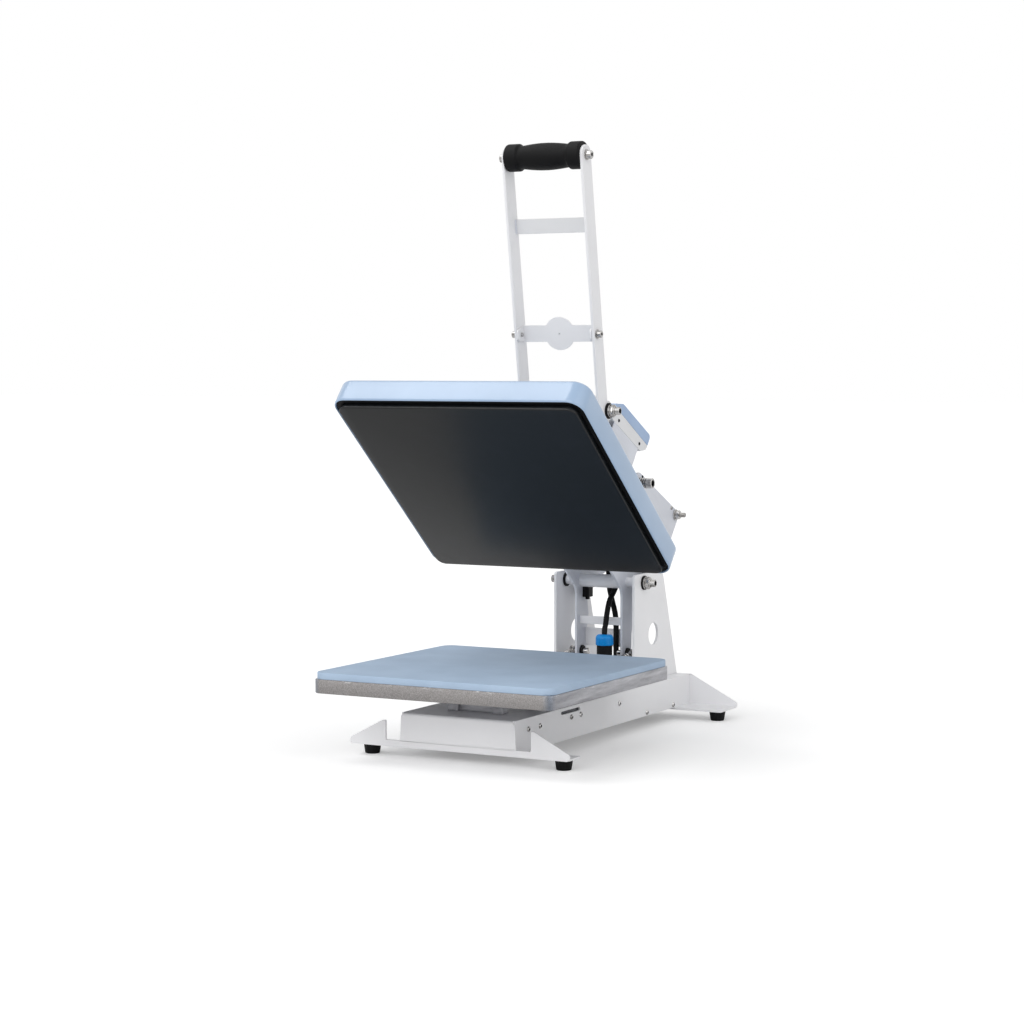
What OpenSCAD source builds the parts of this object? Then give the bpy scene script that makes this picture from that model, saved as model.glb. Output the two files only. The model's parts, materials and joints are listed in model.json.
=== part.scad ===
// Clamshell flat heat press, standing open. Millimetres, +X right, +Y to the back, +Z up.
// The floor is z = 0 and the origin lies under the middle of the whole open machine.

/* [Lower platen] */
// Width and depth of the lower platen
platen_w = 380; // [340:5:400]
// Thickness of the cast platen
platen_t = 20; // [12:1:28]
// Radius of the platen's upright corners
platen_r = 14; // [4:1:30]
// Thickness of the silicone pad
pad_t = 9.7; // [6:0.1:14]
// Space between the base top and the platen
mount_h = 31; // [24:1:40]

/* [Base] */
// Height of the rubber feet
foot_h = 16; // [12:1:24]
// Upper diameter of a rubber foot
foot_d = 26; // [20:1:32]
// Sheet thickness of the folded base parts
sheet_t = 3; // [2:0.5:4]
// Outside width across the two rails
base_w = 183; // [170:1:200]
// Height of the rails
rail_h = 47; // [40:1:60]
// Base front face, ahead of the platen centre
front_reach = 110; // [90:1:120]
// Base rear face, behind the platen centre
rear_reach = 480; // [470:1:520]
// Half width across the wings of the foot brackets
wing_x = 177; // [165:1:190]
// Feet from the centre line
foot_x = 155; // [140:1:162]
// Foot centres, in from the base's end faces
foot_in = 26; // [20:1:30]

/* [Main hinge] */
// Hinge axis behind the platen centre
hinge_back = 352; // [340:1:365]
// Hinge axis above the top of the pad
hinge_up = 94; // [90:1:100]
// Tilt of the open head
open_tilt = 40; // [35:1:42]
// Radius of the hinge shaft and the handle axle
shaft_r = 6; // [5:0.5:7]
// Clear width between the uprights
upright_gap = 131; // [128:1:136]
// Thickness of the uprights
upright_t = 4.5; // [3:0.5:6]

/* [Head] */
// From the heating plate's edge to the outside of the head cover
head_gap = 10; // [7:0.5:14]
// Height of the head cover
cover_h = 38; // [32:1:42]
// Wall of the head cover
cover_wall = 1.6; // [1.2:0.2:2.4]
// Radius of the cover's upright corners
head_r = 24; // [20:1:45]
// Width and depth of the heating plate
heat_w = 380; // [360:2:400]
// Thickness of the heating plate
heat_t = 15; // [10:1:18]
// How far the heating plate stands below the cover
heat_proud = 6.5; // [4:0.5:9]
// Head cover's rear edge, ahead of the hinge axis
head_ahead = 152; // [145:1:165]

/* [Arm] */
// Clear width between the two arm plates
arm_gap = 75; // [70:1:80]
// Thickness of the arm plates
arm_t = 4; // [3:0.5:5]
// Handle axle ahead of the hinge axis, along the closed head
axle_u = 265; // [255:1:275]
// Handle axle above the hinge axis, square to the closed head
axle_n = 128; // [122:1:132]
// Length of the legs from the hinge axis to the spring pins
leg_len = 112; // [105:1:116]

/* [Handle] */
// Clear width between the handle bars
handle_gap = 126; // [124:1:132]
// Width of the flat handle bars
bar_w = 30; // [26:1:34]
// Thickness of the handle bars
bar_t = 4; // [3:0.5:5]
// Handle axle to the grip
handle_len = 383; // [340:1:420]
// Forward lean of the bars on the open press
handle_lean = 8.9; // [5:0.1:12]
// Diameter of the grip at its middle
grip_d = 41; // [34:1:46]
// Armature bar above the handle axle
armature_at = 119; // [112:1:126]
// Diameter of the armature disc
disc_d = 50; // [44:1:56]

/* [Toggle links] */
// Link pivot on the uprights, behind the hinge axis
link_back = 45; // [42:1:50]
// Link pivot on the uprights, below the hinge axis
link_down = 20; // [16:1:24]
// Length of a toggle link
link_len = 308; // [307:0.5:309]
// Width of a toggle link
link_w = 20; // [16:1:22]
// Thickness of a toggle link
link_t = 5; // [4:0.5:6]

/* [Control box] */
// Half width of the control box
box_x = 58; // [50:1:60]

/* [Clearances] */
// Radial running clearance of pins and shafts
fit = 0.05; // [0.03:0.01:0.09]
// Air between pieces that pass each other
air = 0.3; // [0.2:0.05:0.5]
// Gap between the heating plate and the pad when closed
close_gap = 0.5; // [0.4:0.1:1]

/* [Hidden] */
$fn = 48;
// The rearmost point of the arms, behind the hinge axis
tail_back = 189.68;
// The origin lies midway between the platen's front edge and that point
platen_y = (platen_w / 2 - hinge_back - tail_back) / 2;
flange_top = foot_h + sheet_t;
base_top_z = flange_top + rail_h;
platen_z = base_top_z + mount_h;
pad_z = platen_z + platen_t;
pad_top = pad_z + pad_t;
front_y = platen_y - front_reach;
rear_y = platen_y + rear_reach;
rail_x = base_w / 2 - sheet_t;
hinge_y = platen_y + hinge_back;
hinge_z = pad_top + hinge_up;
upright_x = upright_gap / 2;
upright_out = upright_x + upright_t;
arm_x = arm_gap / 2;
arm_out = arm_x + arm_t;
bar_x = handle_gap / 2;
bar_out = bar_x + bar_t;
// Depths of the head below the hinge axis, square to the closed head
heat_low = hinge_up - close_gap;
rim_low = heat_low - heat_proud;
cover_top = rim_low - cover_h;
heat_top = heat_low - heat_t;
head_w = heat_w + 2 * head_gap;
plate_r = head_r - head_gap;
// The insulation board stands this far inside the plate's edge
board_inset = 5;
head_mid = head_ahead + head_w / 2;
// Bushes and washers
bush_r = shaft_r + 3;
flange_r = bush_r + 2;
flange_t = 2.5;
washer_t = 2;
nut_t = 8;
// The base screws on each rail, as distance behind the platen centre and height under the base top
rail_screws = [[-69, 16], [-34, 16], [63.5, 16], [93, 16], [222, 16], [319, 42], [416, 42]];
screw_r = 2;
screw_head_r = 4;
// Arm points, along and square to the closed head
tie_high = [68, 142];
tie_rear = [-75, 187];
tie_high_r = 5;
tie_rear_r = 4;
beam_low = 20;
beam_front = 425;
// Underside of the control tray, along and square to the closed head
tray_rear = [122, 163.1];
tray_front = [238, 137.5];
tray_slope = atan2(tray_rear.y - tray_front.y, tray_front.x - tray_rear.x);
// Turn of the handle for each degree that the head closes
handle_ratio = 1.6;
// Crank of the handle bar below its axle, in the bar's own directions
crank = [-16.7, -31.9];
link_pin_r = 5;
// The toggle's free pivot is opened by this much
link_play = 2.9;
link_mid = bar_x - 10.5;
link_tilt = 54.9;
// Legs and spring
spring_pin_r = 5;
spring_x = 50;
spring_r = 6.5;
wire_r = 1.2;
anchor_back = 190;
anchor_up = 12;
anchor_r = 4;
curls = 20;
// Cable connector on the base top
plug_x = 22;
plug_back = 312;
plug_r = 12;
plug_top = 59;
nut_r = 13.8;
nut_h = 17;
cable_r = 4.3;

// Rounded outlines: each point is [x, y, corner radius]
function unit(v) = v / norm(v);
function turn(p, a) = [p.x * cos(a) - p.y * sin(a), p.x * sin(a) + p.y * cos(a)];
function corner(a, b, c, r, steps = 6) =
    r == 0 ? [b] :
    let (d1 = unit(a - b), d2 = unit(c - b), half = acos(d1 * d2) / 2,
         mid = b + unit(d1 + d2) * r / sin(half),
         start = b + d1 * r / tan(half) - mid,
         sweep = (180 - 2 * half) * sign(cross(b - a, c - b)))
    [for (i = [0:steps]) mid + turn(start, sweep * i / steps)];
function flat(p) = [p.x, p.y];
function rounded(pts) = let (n = len(pts))
    [for (i = [0:n - 1]) each corner(flat(pts[(i + n - 1) % n]), flat(pts[i]), flat(pts[(i + 1) % n]), pts[i][2])];
function with_mirror(half) = concat(half, [for (i = [len(half) - 1:-1:0]) [-half[i].x, half[i].y, half[i][2]]]);
function rect(w, d, r) = [[-w / 2, -d / 2, r], [w / 2, -d / 2, r], [w / 2, d / 2, r], [-w / 2, d / 2, r]];

module slab(w, d, h, r) { linear_extrude(h) polygon(rounded(rect(w, d, r))); }
// A plate drawn in the Y-Z plane, from x0 over thickness t
module side_plate(x0, t, pts) {
    translate([x0, 0, 0]) rotate([90, 0, 90]) linear_extrude(t) polygon(rounded(pts));
}
// A plate drawn in the X-Z plane, from y0 towards the back over thickness t
module cross_plate(y0, t, pts) {
    translate([0, y0 + t, 0]) rotate([90, 0, 0]) linear_extrude(t) polygon(rounded(pts));
}
module rod(r, x0, x1) { translate([x0, 0, 0]) rotate([0, 90, 0]) cylinder(r = r, h = x1 - x0); }
module ring(r_out, r_in, x0, x1) {
    difference() {
        rod(r_out, x0, x1);
        rod(r_in, x0 - 1, x1 + 1);
    }
}
module hex_nut(af, r_in, x0, x1) {
    difference() {
        translate([x0, 0, 0]) rotate([0, 90, 0]) cylinder(d = af / cos(30), h = x1 - x0, $fn = 6);
        rod(r_in, x0 - 1, x1 + 1);
    }
}
module hex_socket(d, x0, x1) { translate([x0, 0, 0]) rotate([0, 90, 0]) cylinder(d = d, h = x1 - x0, $fn = 6); }
module both_sides() {
    children();
    mirror([1, 0, 0]) children();
}
module left_side() { mirror([1, 0, 0]) children(); }

// Frames of reference
module at_platen(back, z) { translate([0, platen_y + back, z]) children(); }
module at_hinge() { translate([0, hinge_y, hinge_z]) children(); }
// The head, drawn closed from the hinge axis, then opened
module in_head() { at_hinge() rotate([-open_tilt, 0, 0]) children(); }
module on_head(u, n) { translate([0, -u, n]) children(); }
module in_handle() { in_head() on_head(axle_u, axle_n) rotate([open_tilt + handle_lean, 0, 0]) children(); }
// Leg points are named on the open press and turned into the closed head
function leg(y, z, r) = let (p = turn([y, z], open_tilt)) [p.x, p.y, r];
function arm(u, n, r) = [-u, n, r];

// Base
rear_foot_in = foot_in + 10;
module rubber_feet() {
    color("#1c1c1e")
    for (x = [-foot_x, foot_x], y = [front_y + foot_in, rear_y - rear_foot_in])
        translate([x, y, 0]) cylinder(d1 = foot_d - 5, d2 = foot_d, h = foot_h);
}

// Half outlines of the bent brackets, from the wing tip to the middle
bend = 4;
wing_half = [[wing_x, foot_h, 5], [wing_x, foot_h + 9, 5], [122, 53.5, 2], [117, 53.5, 2], [117, 25.5, 2],
    [base_w / 2 + 2, 25.5, 2], [base_w / 2, base_top_z - bend, 0]];
rear_half = [[wing_x - 3, foot_h, 5], [wing_x - 3, foot_h + 9, 5], [base_w / 2 + 3, base_top_z, 3]];
front_flange = 40;
rear_flange = 62;
hood_depth = 34;

module front_bracket() {
    lip_z = base_top_z - bend - 6;
    color("#f2f2f4") {
        cross_plate(front_y, sheet_t, with_mirror(wing_half));
        side_plate(-rail_x, 2 * rail_x, [[front_y, lip_z, 0], [front_y, base_top_z, bend],
            [front_y + hood_depth, base_top_z, 0], [front_y + hood_depth, base_top_z - sheet_t, 0],
            [front_y + sheet_t, base_top_z - sheet_t, bend - sheet_t], [front_y + sheet_t, lip_z, 0]]);
        translate([0, front_y + front_flange / 2 + 1, foot_h]) slab(2 * wing_x - 4, front_flange - 2, sheet_t, 5);
    }
}

inlet_x = -45;
switch_x = 45;
inlet_w = 28;
inlet_h = 20;
rear_mid_z = flange_top + rail_h / 2;
module rear_cutout(x) {
    translate([x - inlet_w / 2, rear_y - 20, rear_mid_z - inlet_h / 2]) cube([inlet_w, 40, inlet_h]);
}

module rear_bracket() {
    color("#f2f2f4") difference() {
        union() {
            cross_plate(rear_y - sheet_t, sheet_t, with_mirror(rear_half));
            translate([0, rear_y - rear_flange / 2 - 1, foot_h])
                slab(2 * wing_x - 10, rear_flange - 2, sheet_t, 5);
        }
        rear_cutout(inlet_x);
        rear_cutout(switch_x);
    }
}

module rail() {
    slot_l = 60;
    slot_h = 5;
    slot_back = 61;
    slot_down = 7;
    difference() {
        translate([rail_x, front_y + sheet_t, flange_top]) cube([sheet_t, rear_y - front_y - 2 * sheet_t, rail_h]);
        for (s = rail_screws)
            at_platen(s.x, base_top_z - s.y) rod(screw_r + fit, rail_x - 1, rail_x + sheet_t + 1);
        at_platen(slot_back, base_top_z - slot_down)
            side_plate(rail_x - 1, sheet_t + 2, rect(slot_l, slot_h, slot_h / 2 - 0.1));
    }
}
module base_rail_right() { color("#efeff1") rail(); }
module base_rail_left() { color("#efeff1") left_side() rail(); }

module base_top() {
    top_len = rear_y - sheet_t - front_y - hood_depth;
    color("#f2f2f4") difference() {
        translate([-rail_x, front_y + hood_depth, base_top_z - sheet_t]) cube([2 * rail_x, top_len, sheet_t]);
        translate([plug_x, platen_y + plug_back, 0]) cylinder(r = plug_r - 3 + fit, h = base_top_z + 1);
        translate([control_route[0].x, control_route[0].y, 0]) cylinder(r = cable_r + air, h = base_top_z + 1);
    }
}

module base_screws() {
    color("#4a4a4e") both_sides() for (s = rail_screws) at_platen(s.x, base_top_z - s.y) difference() {
        union() {
            rod(screw_r, rail_x - 2, rail_x + sheet_t);
            rod(screw_head_r, rail_x + sheet_t, rail_x + sheet_t + 2);
        }
        hex_socket(3, rail_x + sheet_t + 0.8, rail_x + sheet_t + 3);
    }
}

// Uprights
upright_foot = 20;
upright_ahead = 33;
upright_over = 14;
module upright() {
    difference() {
        union() {
            side_plate(upright_x, upright_t, [[hinge_y - upright_ahead, base_top_z, 0],
                [hinge_y + 125, base_top_z, 0], [hinge_y + 70, hinge_z + upright_over, 18],
                [hinge_y - upright_ahead, hinge_z + upright_over, 5]]);
            translate([upright_x - upright_foot, hinge_y - upright_ahead + 4, base_top_z])
                cube([upright_foot + 1, 150, upright_t]);
        }
        at_hinge() rod(bush_r + fit, upright_x - 1, upright_out + 1);
        translate([0, hinge_y + 36, hinge_z - 83]) rod(17.5, upright_x - 1, upright_out + 1);
    }
}
module upright_right() { color("#f4f4f6") upright(); }
module upright_left() { color("#f4f4f6") left_side() upright(); }

module upright_bolts() {
    color("#b9babd") both_sides() for (y = [20, 70, 130]) {
        translate([upright_x - upright_foot / 2, hinge_y - upright_ahead + y, base_top_z + upright_t])
            cylinder(d = 12 / cos(30), h = 5, $fn = 6);
    }
}

module pivot_bushes() {
    color("#151517") at_hinge() both_sides() difference() {
        union() {
            rod(bush_r, upright_x, upright_out);
            rod(flange_r, upright_x - flange_t, upright_x);
            rod(flange_r, upright_out, upright_out + flange_t);
        }
        rod(shaft_r + fit, upright_x - flange_t - 1, upright_out + flange_t + 1);
    }
}

link_in = link_mid - link_t / 2;
link_out = link_mid + link_t / 2;
module link_studs() {
    color("#c4c5c8") at_hinge() translate([0, link_back, -link_down]) both_sides() {
        rod(link_pin_r, link_in - 3.5, upright_x);
        rod(link_pin_r + 3, link_out + air, upright_x);
        rod(link_pin_r + 2, link_in - 2 - air, link_in - air);
    }
}

// Lower platen
module platen_mount() {
    post = [36, 50];
    post_w = 18;
    rail_t = 8;
    web_t = 5;
    color("#dededf") {
        for (x = [-post.x, post.x], y = [-post.y, post.y])
            at_platen(y, base_top_z) translate([x, 0, 0]) slab(post_w, post_w, mount_h - rail_t + 1, 2);
        for (y = [-post.y, post.y])
            at_platen(y, platen_z - rail_t) slab(2 * post.x + 2 * post_w, 2 * post_w, rail_t, 3);
        // A web joins the two front posts
        at_platen(-post.y, base_top_z) slab(2 * post.x, web_t, mount_h - rail_t + 1, 0.5);
    }
}
module lower_platen() {
    color("#a9a8a9") at_platen(0, platen_z) slab(platen_w, platen_w, platen_t, platen_r);
}
module silicone_pad() {
    color("#a8c0d8") at_platen(0, pad_z) slab(platen_w - 2, platen_w - 2, pad_t, platen_r + 4);
}

// Spring anchor under the platen and the two return springs
module spring_anchor() {
    color("#d9dadc") at_platen(anchor_back, base_top_z) {
        translate([0, 0, anchor_up]) rod(anchor_r, -spring_x - 12, spring_x + 12);
        both_sides() difference() {
            side_plate(spring_x + 8, 4, [[-12, 0, 0], [12, 0, 0], [8, anchor_up + 8, 6], [-8, anchor_up + 8, 6]]);
            translate([0, 0, anchor_up]) rod(anchor_r, spring_x + 7, spring_x + 13);
        }
    }
}

// A round wire swept along a path, its rings carried on without twist
function lead(p, i) = unit(p[min(i + 1, len(p) - 1)] - p[max(i - 1, 0)]);
function carried(p, n0) = [for (i = 0, n = n0 - (n0 * lead(p, 0)) * lead(p, 0); i < len(p);
    i = i + 1, n = n - (n * lead(p, min(i, len(p) - 1))) * lead(p, min(i, len(p) - 1))) unit(n)];
module swept(p, r, sides, n0) {
    count = len(p);
    side_way = carried(p, n0);
    points = [for (i = [0:count - 1]) let (t = lead(p, i), a = side_way[i], b = cross(t, a))
        for (k = [0:sides - 1]) p[i] + r * (cos(360 * k / sides) * a + sin(360 * k / sides) * b)];
    walls = [for (i = [0:count - 2], k = [0:sides - 1]) let (m = (k + 1) % sides, s = i * sides, e = s + sides)
        each [[s + k, e + k, e + m], [s + k, e + m, s + m]]];
    start_cap = [for (k = [1:sides - 2]) [0, k, k + 1]];
    end_cap = [for (k = [1:sides - 2]) let (e = (count - 1) * sides) [e, e + k + 1, e + k]];
    polyhedron(points, concat(start_cap, walls, end_cap));
}
spring_a = [platen_y + anchor_back, base_top_z + anchor_up];
spring_b = [hinge_y, hinge_z - leg_len];
spring_way = unit(spring_b - spring_a);
spring_run = norm(spring_b - spring_a);
function spring_point(s, across, side) =
    let (q = spring_a + spring_way * s + [-spring_way.y, spring_way.x] * across) [spring_x + side, q.x, q.y];
eye_steps = 10;
// An eye is bent in short straight steps, so its corners stand off by their share
eye_play = 0.1;
eye_share = cos(145 / eye_steps);
eye_a = (anchor_r + wire_r + eye_play) / eye_share;
eye_b = (spring_pin_r + wire_r + eye_play) / eye_share;
coil_start = 18;
coil_run = spring_run - 2 * coil_start;
spring_path = concat(
    [for (i = [0:eye_steps]) let (a = 20 + 290 * i / eye_steps) spring_point(eye_a * cos(a), eye_a * sin(a), 0)],
    [spring_point(coil_start - 7, -3, 0)],
    [for (i = [0:curls * 8]) let (a = 360 * i / 8) spring_point(coil_start + coil_run * i / (curls * 8),
        -spring_r * cos(a), spring_r * sin(a))],
    [spring_point(spring_run - coil_start + 7, -3, 0)],
    [for (i = [0:eye_steps]) let (a = 230 + 290 * i / eye_steps)
        spring_point(spring_run + eye_b * cos(a), eye_b * sin(a), 0)]);
function least_gap(p, r) = min([for (i = [0:len(p) - 8], j = [i + 7:len(p) - 1]) norm(p[i] - p[j])]) - 2 * r;
module return_spring() {
    echo(spring_least_gap = least_gap(spring_path, wire_r));
    swept(spring_path, wire_r, 6, [1, 0, 0]);
}
module return_spring_right() { color("#8d8f93") return_spring(); }
module return_spring_left() { color("#8d8f93") left_side() return_spring(); }

// Mains inlet and power switch in the rear plate
module rear_frame(x, wall) {
    translate([x, rear_y, rear_mid_z]) difference() {
        union() {
            translate([0, 2, 0]) rotate([90, 0, 0]) slab(inlet_w + 6, inlet_h + 6, 2, 3);
            rotate([90, 0, 0]) slab(inlet_w - 0.4, inlet_h - 0.4, 26, 2);
        }
        translate([0, 3, 0]) rotate([90, 0, 0]) slab(inlet_w - wall, inlet_h - wall, 23, 2);
    }
}
module power_inlet() {
    pin_len = 15;
    color("#1b1b1d") {
        rear_frame(inlet_x, 4);
        for (p = [[-7, -3], [0, 3], [7, -3]])
            translate([inlet_x + p.x - 1, rear_y - 20 - 1, rear_mid_z + p.y - 2]) cube([2, pin_len + 1, 4]);
    }
}
module switch_frame() { color("#1b1b1d") rear_frame(switch_x, 6); }
rocker_deep = 2;
rocker_pin_r = 1.5;
module power_rocker() {
    half = (inlet_w - 7) / 2;
    color("#b3261e") translate([switch_x, rear_y - rocker_deep, rear_mid_z]) {
        side_plate(-half, 2 * half, [[-4, -4, 1], [2.4, -5, 0.6], [3.6, 0, 3], [6, 5, 0.6], [-4, 4, 1]]);
        rod(rocker_pin_r, -half - 0.45, half + 0.45);
    }
}
module relay_module() {
    color("#2f3338") translate([-40, hinge_y + 20, base_top_z - sheet_t - 28]) cube([80, 60, 28]);
}

// Cable connector and cables between the base and the moving arm
module cable_socket() {
    color("#17181a") at_platen(plug_back, base_top_z) translate([plug_x, 0, 0]) {
        difference() {
            cylinder(r = plug_r, h = plug_top);
            translate([0, 0, plug_top - 6]) cylinder(r = cable_r, h = 7);
        }
        translate([0, 0, -sheet_t - 6]) cylinder(r = plug_r - 3, h = sheet_t + 7);
    }
}
module cable_nut() {
    color("#1277c8") at_platen(plug_back, base_top_z + plug_top) translate([plug_x, 0, 0]) difference() {
        union() {
            cylinder(r = nut_r, h = nut_h - 4);
            translate([0, 0, nut_h - 4]) cylinder(r1 = nut_r, r2 = nut_r - 3, h = 4);
        }
        translate([0, 0, -1]) cylinder(r = cable_r + fit, h = nut_h + 2);
    }
}
nut_top = base_top_z + plug_top + nut_h;
// Glands on the head cover and under the control tray
gland_r = 8;
gland_h = 12;
heater_x = 14;
heater_u = 218;
control_x = -6;
control_u = 150;
control_n = tray_rear.y - (control_u - tray_rear.x) * tan(tray_slope);
// Points are distances from the hinge axis: across, back and up
function route(points) = [for (p = points) [p.x, hinge_y + p.y, hinge_z + p.z]];
function from_head(x, u, n) = let (p = turn([-u, n], -open_tilt)) [x, p.x, p.y];
function over_cover(d) = from_head(heater_x, heater_u, d - cover_top);
function under_tray(d) = from_head(control_x, control_u - d * sin(tray_slope), control_n - d * cos(tray_slope));
heater_route = concat([[plug_x, platen_y + plug_back, nut_top - 10], [plug_x, platen_y + plug_back, nut_top + 6]],
    route([[19, -30, -64], [15, -17, -48], [12, -2, -30], [14, 12, -14], [16, 19, 2], [16, 16, 20], [15, 4, 36],
    [14, -16, 52], [14, -42, 70], [14, -72, 90], [14, -102, 108], [14, -130, 124], [14, -155, 133],
    [14, -173, 130], over_cover(gland_h + 8), over_cover(3)]));
control_route = route([[20, 5, -160], [20, 5, -145], [20, 5, -128], [20, 5, -110], [20, 5, -90], [19.5, 6, -72],
    [17, 8, -52], [9, 13, -31], [2, 18, -12], [-1, 22, 8], [-3, 18, 28], [-5, 6, 46], [-6, -8, 66], [-6, -22, 90],
    [-6, -33, 116], [-6, -40, 142], [-6, -39, 166], under_tray(gland_h + 8), under_tray(3)]);
module gland(blind) {
    difference() {
        cylinder(r = gland_r, h = gland_h);
        translate([0, 0, blind]) cylinder(r = cable_r + fit, h = gland_h);
    }
}
module cable_glands() {
    color("#17181a") in_head() {
        on_head(heater_u, -cover_top) translate([heater_x, 0, 0]) gland(2);
        on_head(control_u, control_n) translate([control_x, 0, 0]) rotate([tray_slope, 0, 0])
            mirror([0, 0, 1]) gland(2);
    }
}
module heater_cable() { color("#111113") swept(heater_route, cable_r - fit, 8, [1, 0, 0]); }
module control_cable() { color("#111113") swept(control_route, cable_r - fit, 8, [1, 0, 0]); }

// Arm
module arm_plate() {
    in_head() difference() {
        side_plate(arm_x, arm_t, [arm(beam_front, -beam_low, 6), leg(-17, -11.8, 26), leg(-17, -leg_len - 18, 14),
            leg(16, -leg_len - 18, 14), leg(17, -leg_len + 30, 12), leg(24, -54, 10), leg(16, -14, 14),
            arm(-88, 100, 20), arm(-88, 199.5, 10), arm(80, 157, 14), arm(86, 100, 7), arm(103, 100, 7),
            arm(103, 167.2, 4), arm(243, 136.4, 2), arm(248, 151, 6), arm(286, 151, 18), arm(292, 90, 20),
            arm(335, 60, 20), arm(400, 40, 12), arm(beam_front, 12, 8)]);
        rod(shaft_r + fit, arm_x - 1, arm_out + 1);
        on_head(axle_u, axle_n) rod(shaft_r + fit, arm_x - 1, arm_out + 1);
        on_head(tie_high.x, tie_high.y) rod(tie_high_r + fit, arm_x - 1, arm_out + 1);
        on_head(tie_rear.x, tie_rear.y) rod(tie_rear_r + fit, arm_x - 1, arm_out + 1);
        rotate([open_tilt, 0, 0]) translate([0, 0, -leg_len]) rod(spring_pin_r + fit, arm_x - 1, arm_out + 1);
        for (u = saddle_bolt_u) on_head(u, saddle_bolt_n) rod(saddle_bolt_r + fit, arm_x - 1, arm_out + 1);
        on_head(tie_rear.x + 14, tie_rear.y + 2) rod(2, arm_x - 1, arm_out + 1);
    }
}
module arm_right() { color("#f4f4f6") arm_plate(); }
module arm_left() { color("#f4f4f6") left_side() arm_plate(); }

shaft_end = upright_out + flange_t + air + washer_t + nut_t + 7;
module threaded_shaft(end) {
    difference() {
        rod(shaft_r, -end, end);
        both_sides() hex_socket(6, end - 5, end + 1);
    }
}
module end_nuts(x0) {
    both_sides() {
        ring(flange_r - 1, shaft_r + fit, x0, x0 + washer_t);
        hex_nut(17, shaft_r + fit, x0 + washer_t, x0 + washer_t + nut_t);
    }
}
module pivot_shaft() { color("#c9cacc") in_head() threaded_shaft(shaft_end); }
module leg_strips() {
    strip_z = -68;
    strip_h = 12.5;
    web_z = -104;
    web_h = 28;
    color("#f0f0f2") at_hinge() {
        translate([-arm_x, -7, strip_z]) cube([2 * arm_x, 3, strip_h]);
        translate([-arm_x, 12, web_z]) cube([2 * arm_x, 3, web_h]);
    }
}
spring_pin_in = 12;
spring_pin_out = 15;
module spring_pins() {
    color("#c9cacc") at_hinge() translate([0, 0, -leg_len]) both_sides() {
        rod(spring_pin_r, arm_x - spring_pin_in, arm_out + spring_pin_out);
        rod(spring_pin_r + 2.5, arm_out + spring_pin_out - 2, arm_out + spring_pin_out);
    }
}
module spring_bushes() {
    color("#151517") at_hinge() translate([0, 0, -leg_len]) both_sides() {
        ring(flange_r - 2, spring_pin_r + fit, arm_x - flange_t, arm_x);
        ring(flange_r - 2, spring_pin_r + fit, arm_out, arm_out + flange_t);
    }
}

bar_flange = 1.5;
axle_end = bar_out + flange_t + air + washer_t + nut_t + 7;
module handle_axle() { color("#c9cacc") in_head() on_head(axle_u, axle_n) threaded_shaft(axle_end); }
module spacer_tubes() {
    color("#e9e9eb") in_head() {
        ring(10.5, shaft_r + fit, -arm_x, arm_x);
        both_sides() ring(shaft_r + 1.3, shaft_r + fit, arm_out, upright_x - flange_t - air);
        on_head(axle_u, axle_n) {
            ring(10, shaft_r + fit, -arm_x, arm_x);
            both_sides() ring(shaft_r + 3, shaft_r + fit, arm_out, bar_x - bar_flange - air);
        }
        on_head(tie_high.x, tie_high.y) ring(8, tie_high_r + fit, -arm_x, arm_x);
        on_head(tie_rear.x, tie_rear.y) ring(7, tie_rear_r + fit, -arm_x, arm_x);
    }
}
module shaft_nuts() {
    color("#c9cacc") in_head() {
        end_nuts(upright_out + flange_t + air);
        on_head(axle_u, axle_n) end_nuts(bar_out + flange_t + air);
    }
}
module closing_switch() {
    color("#141416") at_hinge() {
        translate([-arm_x, 2, -27]) cube([11, 15, 16]);
        translate([-arm_x + 3, 6, -31]) cube([5, 6, 5]);
    }
}

// Head carrier and pressure screw
saddle_bolt_u = [300, 335];
saddle_bolt_n = -4;
saddle_t = 4;
saddle_bolt_r = 4;
saddle_u = [270, 440];
saddle_x = 60;
// The saddle's upright webs, rear and front edge
saddle_web = [280, 355];
module head_saddle() {
    color("#e6e6e8") in_head() {
        on_head(saddle_u[1], -cover_top) translate([-saddle_x, 0, 0])
            cube([2 * saddle_x, saddle_u[1] - saddle_u[0], saddle_t]);
        both_sides() difference() {
            side_plate(arm_x - saddle_t, saddle_t, [arm(saddle_web[1], -cover_top + 1, 0),
                arm(saddle_web[0], -cover_top + 1, 0), arm(saddle_web[0] + 5, 10, 8),
                arm(saddle_web[1] - 5, 10, 8)]);
            for (u = saddle_bolt_u)
                on_head(u, saddle_bolt_n) rod(saddle_bolt_r + fit, arm_x - saddle_t - 1, arm_x + 1);
        }
    }
}
module arm_bolts() {
    high_out = arm_out + 25;
    rear_out = arm_out + 18;
    color("#bfc0c3") in_head() {
        on_head(tie_high.x, tie_high.y) difference() {
            union() {
                rod(tie_high_r, -arm_out, arm_out);
                both_sides() {
                    rod(9, arm_out, arm_out + 3);
                    rod(6, arm_out, high_out - 9);
                    rod(8, high_out - 10, high_out);
                }
            }
            both_sides() hex_socket(7, high_out - 6, high_out + 1);
        }
        on_head(tie_rear.x, tie_rear.y) {
            rod(tie_rear_r, -rear_out, rear_out);
            both_sides() {
                ring(9, tie_rear_r - 0.1, arm_out, arm_out + 2);
                hex_nut(13, tie_rear_r - 0.1, arm_out + 2, arm_out + 9);
            }
        }
        both_sides() for (u = saddle_bolt_u) on_head(u, saddle_bolt_n) {
            rod(saddle_bolt_r, arm_x - saddle_t - 5, arm_out);
            hex_nut(12, saddle_bolt_r - 0.1, arm_out, arm_out + 4.5);
            hex_nut(12, saddle_bolt_r - 0.1, arm_x - saddle_t - 4.5, arm_x - saddle_t);
        }
    }
}
screw_u = 410;
screw_r_in = 6;
bridge_low = beam_low - 4;
bridge_h = 22;
knob_r = 20;
nut_block = 26;
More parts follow.
